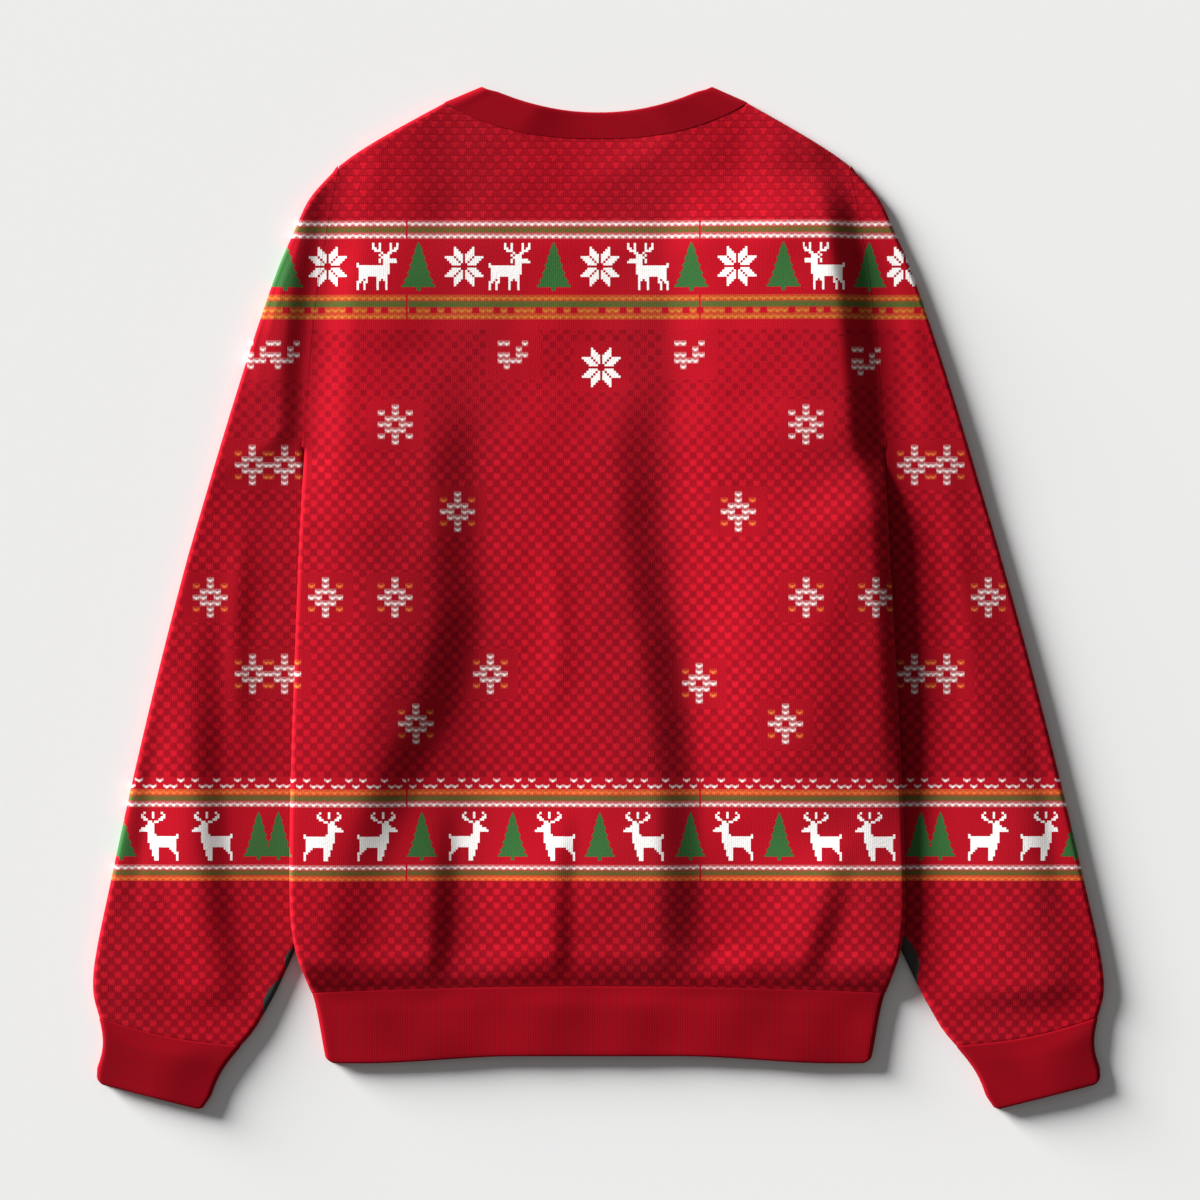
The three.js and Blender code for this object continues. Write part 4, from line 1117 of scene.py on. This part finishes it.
class Wire:
    """One number running through a material's nodes."""

    def __init__(self, tree, socket):
        self.tree, self.socket = tree, socket

    @classmethod
    def out_of(cls, tree, output, kind, inputs, **settings):
        """The wire that leaves a new node by its named output."""
        return cls(tree, add_node(tree, kind, inputs, **settings).outputs[output])

    def math(self, operation, *others):
        inputs = dict(enumerate((self, *others)))
        return Wire.out_of(self.tree, "Value", "Math", inputs, operation=operation)

    # Each of these adds one Math node, so a wire can be added to, compared and so on.
    __add__ = __radd__ = partialmethod(math, "ADD")
    __sub__ = partialmethod(math, "SUBTRACT")
    __mul__ = __rmul__ = partialmethod(math, "MULTIPLY")
    __truediv__ = partialmethod(math, "DIVIDE")
    floor = partialmethod(math, "FLOOR")
    fraction = partialmethod(math, "FRACT")
    size = partialmethod(math, "ABSOLUTE")
    sine = partialmethod(math, "SINE")
    modulo = partialmethod(math, "FLOORED_MODULO")
    above = partialmethod(math, "GREATER_THAN")
    below = partialmethod(math, "LESS_THAN")
    larger = partialmethod(math, "MAXIMUM")
    smaller = partialmethod(math, "MINIMUM")

    def __rsub__(self, other):
        return self * -1.0 + other

    def within(self, low, high):
        """1 between the two limits, 0 elsewhere."""
        return self.above(low) * self.below(high)

    def bit(self, column):
        """Bit of this whole number at a column: halve it that often, and ask if it is odd. Two
        to a power is written as e to the power x the logarithm of two."""
        halved = self / (column * float(np.log(2))).math("EXPONENT")
        return halved.floor().modulo(2.0)

    def soft(self, low, high):
        """0 below low, 1 above high, and a soft step between."""
        ends = {"Value": self, "From Min": low, "From Max": high}
        return Wire.out_of(self.tree, "Result", "MapRange", ends, interpolation_type="SMOOTHSTEP")


def new_material(name):
    """A new material, its nodes, and its shader."""
    material = bpy.data.materials.new(name)
    material.use_nodes = True
    return material, material.node_tree, material.node_tree.nodes["Principled BSDF"]


def place_on(tree, uv_map):
    """The two numbers of a UV map, as wires."""
    place = add_node(tree, "UVMap", {}, uv_map=uv_map).outputs["UV"]
    return [Wire(tree, part) for part in add_node(tree, "SeparateXYZ", {0: place}).outputs[:2]]


def named(tree, attribute):
    """A number that is stored on the mesh, as a wire."""
    return Wire.out_of(tree, "Fac", "Attribute", {}, attribute_name=attribute)


def steps(wire, values):
    """A table in a colour ramp without blending: 2 to 4 numbers for each of up to 32 rows, read
    at the middle of the row that the wire is in. Returns the colour and its four numbers."""
    middle = (wire.floor() + 0.5) / float(len(values))
    ramp = add_node(wire.tree, "ValToRGB", {"Fac": middle})
    ramp.color_ramp.interpolation = "CONSTANT"
    elements = ramp.color_ramp.elements
    while len(elements) < len(values):
        elements.new(1.0)
    for n, value in enumerate(values):
        elements[n].position = n / len(values)
        elements[n].color = (list(value) + [0.0, 0.0, 0.0])[:4]
    colour, alpha = ramp.outputs
    parts = add_node(wire.tree, "SeparateColor", {0: colour}).outputs
    return [colour] + [Wire(wire.tree, part) for part in (*parts, alpha)]


def ink(red, green, blue):
    """A screen colour, 0 to 255, as the light a shader works in."""
    c = np.array([red, green, blue]) / 255
    return (*np.where(c < 0.04045, c / 12.92, ((c + 0.055) / 1.055) ** 2.4), 1.0)


def painted(under, over, cover):
    """The colour `over` laid on `under` where the wire `cover` is 1. A Mix node has sockets for
    each kind of value: 6 and 7 take its two colours, and 2 gives the mixed one."""
    node = add_node(cover.tree, "Mix", {"Factor": cover, 6: under, 7: over}, data_type="RGBA")
    return node.outputs[2]


def stitch(across, up):
    """A knit stitch in its cell, both -0.5 to 0.5: a V whose legs meet low in the middle, where
    it is brightest. The V's line is where up is 0.6 x the distance from the middle less 0.2."""
    leg = across.size()
    return (up + 0.2 - 0.6 * leg).size().soft(0.3, 0.1) * (leg.soft(0.3, 0.06) * 0.5 + 0.5)


print("half grey on a screen, as light:", np.round(ink(128, 128, 128), 3))

# %% [markdown]
# ## The printed fleece
# From the ground up: a red field of small checks and hearts that changes from zone to zone,
# then the rows of stitches above and below each figure band, then the figures. The fleece
# itself is matt with a short nap, which catches a little light at the edges as sheen, and it
# is charcoal where the print doesn't reach: inside, and in a strip under each arm.

# %% The inks
FIELD, FIELD_DEEP = ink(176, 14, 32), ink(134, 5, 22)
HEART, CHECK = ink(197, 20, 37), ink(118, 4, 23)
WHITE, GREEN, CHARCOAL = ink(250, 246, 243), ink(54, 104, 54), ink(58, 60, 58)
ORANGE, GOLD, MOSS = ink(232, 122, 56), ink(200, 128, 52), ink(64, 100, 46)
CELL = (5.32, 5.25)  # one printed stitch, across and up, in mm
WALE = 1.5  # width of a column of the jersey under the print, in mm
# Bands of stitch rows: top, height of a row, and for each row its ink, the share of ink between
# its stitches and, where some are missing, the bits of an 8-stitch and a 9-stitch repeat that
# are there.
ALL_OF_8, ALL_OF_9 = 255, 511
YOKE_FOOT, BODY_TOP, BODY_FOOT, SKIRT_TOP = 286.0, 203.0, -136.0, -215.0  # zones of the field
BANDS = [
    (YOKE_FOOT, 4.69, [(WHITE, 0.1), (MOSS, 0.6), (WHITE, 0.1)]),
    (229.6, 4.69, [(GOLD, 0.25), (MOSS, 0.8), (GOLD, 0.25, ALL_OF_8, 470), (GOLD, 0.25)]),
    (BODY_FOOT, 4.59, [(WHITE, 0.0, 82, ALL_OF_9), (WHITE, 0.0, 173, ALL_OF_9), (ORANGE, 0.35),
                       (MOSS, 0.6), (WHITE, 0.1)]),
    (-202.5, 4.13, [(WHITE, 0.1), (MOSS, 0.6), (ORANGE, 0.3)]),
]
BREAKS = (-145.5, 77.0)  # x of the thin breaks in the stitch rows
print("rows of stitches in the bands:", sum(len(rows) for _, _, rows in BANDS))


# %% The printed ground
def cell_chance(column, row):
    """A number from 0 to 1 drawn for each cell of a grid, the same all over the cell."""
    cell = add_node(column.tree, "CombineXYZ", {"X": column.floor(), "Y": row.floor()})
    return Wire.out_of(column.tree, "Value", "TexWhiteNoise", {"Vector": cell.outputs[0]},
                       noise_dimensions="2D")


def printed_ground(x, y):
    """The red field: small T marks on the yoke, then checks that give way to hearts."""
    column, row = x / CELL[0], y / CELL[1]
    odd = (column.floor() + row.floor()).modulo(2.0)
    across, up = (column.fraction() - 0.5).size(), row.fraction() - 0.5
    chance = cell_chance(column, row)
    yoke, skirt = y.above(YOKE_FOOT), y.below(SKIRT_TOP)
    body = y.below(BODY_TOP) * y.above(BODY_FOOT)
    hearted = 1.0 - y.soft(95.0, 150.0)  # checks give way to hearts down the back
    there = named(x.tree, "plot").above(0.0)
    begun = (chance * 0.5 + (BODY_TOP - row.floor() * CELL[1]) / 12.0).above(0.25).larger(yoke)
    inked = there * begun
    # the marks in one stitch: each fades out between two distances, in shares of a stitch
    taper = across + (up * -0.3).larger(0.0)
    heart = taper.soft(0.56, 0.32) * (up - 0.2 * across).soft(0.44, 0.22) * up.soft(-0.52, -0.3)
    bar, stem = across.below(0.49) * up.within(-0.04, 0.38), across.below(0.26)
    mark = bar + stem * up.within(-0.5, -0.039)
    square = across.soft(0.5, 0.36) * up.size().soft(0.5, 0.36)
    # how strong each of them is from zone to zone
    deep = inked * (yoke * 0.5 + body * (0.15 + 0.4 * hearted) + skirt * 0.6)
    deep = deep + (1.0 - there) * body * (0.1 + 0.35 * hearted)
    deep = deep + up.above(0.38) * yoke * 0.5  # a dark line between the rows of the yoke
    colour = painted(FIELD, FIELD_DEEP, deep)
    dark = square * odd * inked * (body * (0.5 - 0.1 * hearted) + skirt * 0.35)
    colour = painted(colour, CHECK, dark * (0.7 + 0.5 * chance))
    hearts = heart * (body * (0.2 + 0.5 * hearted) + skirt * 0.8)
    light = inked * (1.0 - odd) * (hearts + mark * yoke * 0.7)
    return painted(colour, HEART, light * (0.65 + 0.45 * chance))


# %% The bands and the figures
def printed_bands(x, y, colour):
    """Rows of stitches: which row of which band a place is in, then that row's ink and repeat."""
    row, up, offset = 0.0, 0.0, 1
    for top, tall, rows in BANDS:
        down = (top - y) / tall
        inside = down.within(0.0, float(len(rows)))
        row = (down.floor() + float(offset)) * inside + row
        up = (0.5 - down.fraction()) * inside + up
        offset += len(rows)
    table = [((0, 0, 0), 0, 0, 0)]  # row 0 is the ground outside the bands
    for _, _, rows in BANDS:
        table += [(*entry, ALL_OF_8, ALL_OF_9)[:4] for entry in rows]
    inks = steps(row, [tint[:3] + (0.0,) for tint, *_ in table])[0]
    repeats = [(eight, nine, between, 0) for _, between, eight, nine in table]
    _, eight, nine, between, _ = steps(row, repeats)
    column = x / CELL[0]
    present = eight.bit(column.floor().modulo(8.0)) * nine.bit(column.floor().modulo(9.0))
    shape = stitch(column.fraction() - 0.5, up) * (0.8 + 0.2 * cell_chance(column, row))
    for at in BREAKS:
        present = present * (x - at).size().above(0.7)
    return painted(colour, inks, present * (between + (1.0 - between) * shape))


def printed_figures(tree, colour):
    """The figures: read a sheet row's number, and see whether this column's bit is in it."""
    u, v = place_on(tree, "figure")
    white, orange, half = 0.0, 0.0, 0.0
    for start in range(0, SHEET_ROWS, RAMP_ROWS):
        part = slice(start, start + RAMP_ROWS)
        rows = list(zip(white_rows[part], orange_rows[part], tree_rows[part], np.zeros(RAMP_ROWS)))
        _, w, o, h, _ = steps((v - float(start)).larger(0.0).smaller(RAMP_ROWS - 0.5), rows)
        white, orange, half = w + white, o + orange, h + half
    column = u.floor()
    flakes = v.within(20.0, 33.0) + v.within(57.0, 64.0)  # rows of the sheet that show stitches
    lace = stitch(u.fraction() - 0.5, 0.5 - v.fraction()) * 0.94
    shape = (1.1 - flakes * 1.1).larger(lace) * 0.8 + 0.12
    on_sheet = u.within(0.0, CHARTS_RIGHT) * v.above(0.0)
    for ink_colour, marked in ((WHITE, white), (ORANGE, orange)):
        colour = painted(colour, ink_colour, marked.bit(column) * shape * on_sheet)
    from_trunk = (u - CHARTS["wide tree"][1]).size()
    return painted(colour, GREEN, (half - from_trunk).above(0.0) * u.above(TREE_LEFT))


# %% The fleece
def blotches(tree, scale):
    """Soft noise over the cloth, about 0.5, with its patches 1/scale metres across."""
    place = add_node(tree, "UVMap", {}, uv_map="laid").outputs["UV"]
    return Wire.out_of(tree, "Fac", "TexNoise", {"Scale": scale, "Vector": place})


def fuzz(shader, height, deep, strength):
    """Tilts the light on the surface as if it were `height` x `deep` metres high."""
    bump = add_node(height.tree, "Bump",
                    {"Distance": deep, "Strength": strength, "Height": height})
    height.tree.links.new(bump.outputs["Normal"], shader.inputs["Normal"])


def matt(shader, roughness, specular, sheen):
    """Cloth: hardly any shine, and a little light in the nap at grazing angles."""
    shader.inputs["Roughness"].default_value = roughness
    shader.inputs["Specular IOR Level"].default_value = specular
    shader.inputs["Sheen Weight"].default_value = sheen
    shader.inputs["Sheen Roughness"].default_value = 0.45


def printed_fleece():
    """The print; charcoal where it doesn't reach; a little uneven ink; and the jersey's relief:
    0.4 x the distance from a column's middle, plus fine blotches for the nap."""
    material, tree, shader = new_material("printed_fleece")
    x, y = (wire / MM for wire in place_on(tree, "laid"))
    colour = printed_figures(tree, printed_bands(x, y, printed_ground(x, y)))
    unprinted = named(tree, "hidden").larger(named(tree, "bare").above(0.0))
    colour = painted(colour, CHARCOAL, unprinted)
    uneven = blotches(tree, 26.0).soft(0.5, 0.8) * 0.12
    tree.links.new(painted(colour, FIELD_DEEP, uneven), shader.inputs["Base Color"])
    wale = (x / WALE).fraction() - 0.5
    fuzz(shader, wale.size() * 0.4 + blotches(tree, 700.0), deep=0.0005, strength=0.3)
    matt(shader, roughness=0.88, specular=0.06, sheen=0.025)
    return material


fleece = printed_fleece()
print("nodes in the fleece:", len(fleece.node_tree.nodes))

# %% [markdown]
# ## The rib
# Rib is knitted, not printed: columns of stitches stand up in turn on either side, so it
# stretches round a wrist and draws in again. Here it is dyed one deep red, with painted shade
# in soft patches and in the sunk columns. Its columns run from the seam to the free edge, a
# little under two millimetres apart, and are hardly more than a bump.

# %% The rib
RIB_PITCH, RIB_COURSE = 1.8, 1.4  # one raised and one sunk column, and one row, in mm
# the rib's dye, and the same red in painted shade
RIB_RED, RIB_SHADED = ink(147, 5, 22), ink(110, 2, 16)


def ripple(wire, pitch):
    """A wave from 0 to 1 that repeats every pitch."""
    return (wire * (2 * np.pi / pitch)).sine() * 0.5 + 0.5


def rib_knit():
    """One red dye with painted shade: darker in soft random patches, in place of the shading of
    the rib's slight undulation, and darker in the sunk columns; and relief that is 0.8 x the
    columns' wave plus 0.2 x the rows' wave."""
    material, tree, shader = new_material("rib_knit")
    along, down = (wire / MM for wire in place_on(tree, "laid"))
    raised = ripple(along, RIB_PITCH)
    # painted shade: soft random patches stand in for the shading of the rib's slight undulation,
    # and the sunk columns are darker
    painted_shade = blotches(tree, 9.0).soft(0.38, 0.7) * 0.5 + (1.0 - raised) * 0.06
    tree.links.new(painted(RIB_RED, RIB_SHADED, painted_shade), shader.inputs["Base Color"])
    fuzz(shader, raised * 0.8 + ripple(down, RIB_COURSE) * 0.2, deep=0.0003, strength=0.14)
    matt(shader, roughness=0.85, specular=0.05, sheen=0.02)
    return material


finishes = {"printed_fleece": fleece, "rib_knit": rib_knit()}
for piece, solid, slot, cut, area in CUTS:
    piece.data.materials.append(finishes[slot])
print("finishes:", list(finishes), "- rib columns across the hem:",
      round(2 * HEM_TOP[2] / RIB_PITCH))

# %% [markdown]
# ## Table, light and camera
# A plain pale table, and one large soft light that comes in low from the upper left, as from a
# window: low light is what makes folds in cloth readable, because every slope that faces away
# from it goes dark. A pale sky fills the shadows. The camera looks straight down from four
# metres with a long lens, so that nothing leans.

# %% Table
scene = bpy.context.scene
scene.view_settings.view_transform = "Standard"
TABLE_HALF = 8.0  # metres
corners = [(TABLE_HALF * x, TABLE_HALF * y, 0) for x, y in ((-1, -1), (1, -1), (1, 1), (-1, 1))]
table_mesh = bpy.data.meshes.new("table")
table_mesh.from_pydata(corners, [], [(0, 1, 2, 3)])
table = bpy.data.objects.new("table", table_mesh)
scene.collection.objects.link(table)
painted_board, _, board_shader = new_material("pale_board")
board_shader.inputs["Base Color"].default_value = (0.84, 0.835, 0.83, 1.0)
board_shader.inputs["Roughness"].default_value = 0.9
board_shader.inputs["Specular IOR Level"].default_value = 0.1
table_mesh.materials.append(painted_board)

# %% Light
SKY = 0.168
SUN_UP, SUN_ROUND = np.radians(12.0), np.radians(147.0)  # above the table; round from the right
SUN_LEVEL, SUN_WIDE = 0.838, np.radians(26.0)  # light on the table; how wide the light looks
scene.world = bpy.data.worlds.new("sky")
scene.world.use_nodes = True
sky = scene.world.node_tree.nodes["Background"]
sky.inputs["Color"].default_value = (1.0, 1.0, 1.0, 1.0)
sky.inputs["Strength"].default_value = SKY
window = bpy.data.lights.new("window", "SUN")
window.angle = SUN_WIDE
window.energy = SUN_LEVEL * np.pi / np.sin(SUN_UP)  # so the table stays as bright if it sinks
window_light = bpy.data.objects.new("window", window)
scene.collection.objects.link(window_light)
towards = Vector((np.cos(SUN_UP) * np.cos(SUN_ROUND), np.cos(SUN_UP) * np.sin(SUN_ROUND),
                  np.sin(SUN_UP)))
window_light.location = towards * 3.0
window_light.rotation_euler = (-towards).to_track_quat("-Z", "Y").to_euler()
print("light strength:", round(window.energy, 2))

# %% Camera
CAMERA_UP, VIEW_WIDE = 4.0, 0.912  # metres: height, and width of the view on the table
lens = bpy.data.cameras.new("camera")
lens.sensor_width = 36.0
lens.lens = lens.sensor_width * CAMERA_UP / VIEW_WIDE
lens.clip_end = 20.0
camera = bpy.data.objects.new("camera", lens)
scene.collection.objects.link(camera)
camera.location = (0.0011, -0.0019, CAMERA_UP)  # over the middle of the garment
scene.camera = camera
print("lens, mm:", round(lens.lens, 1))
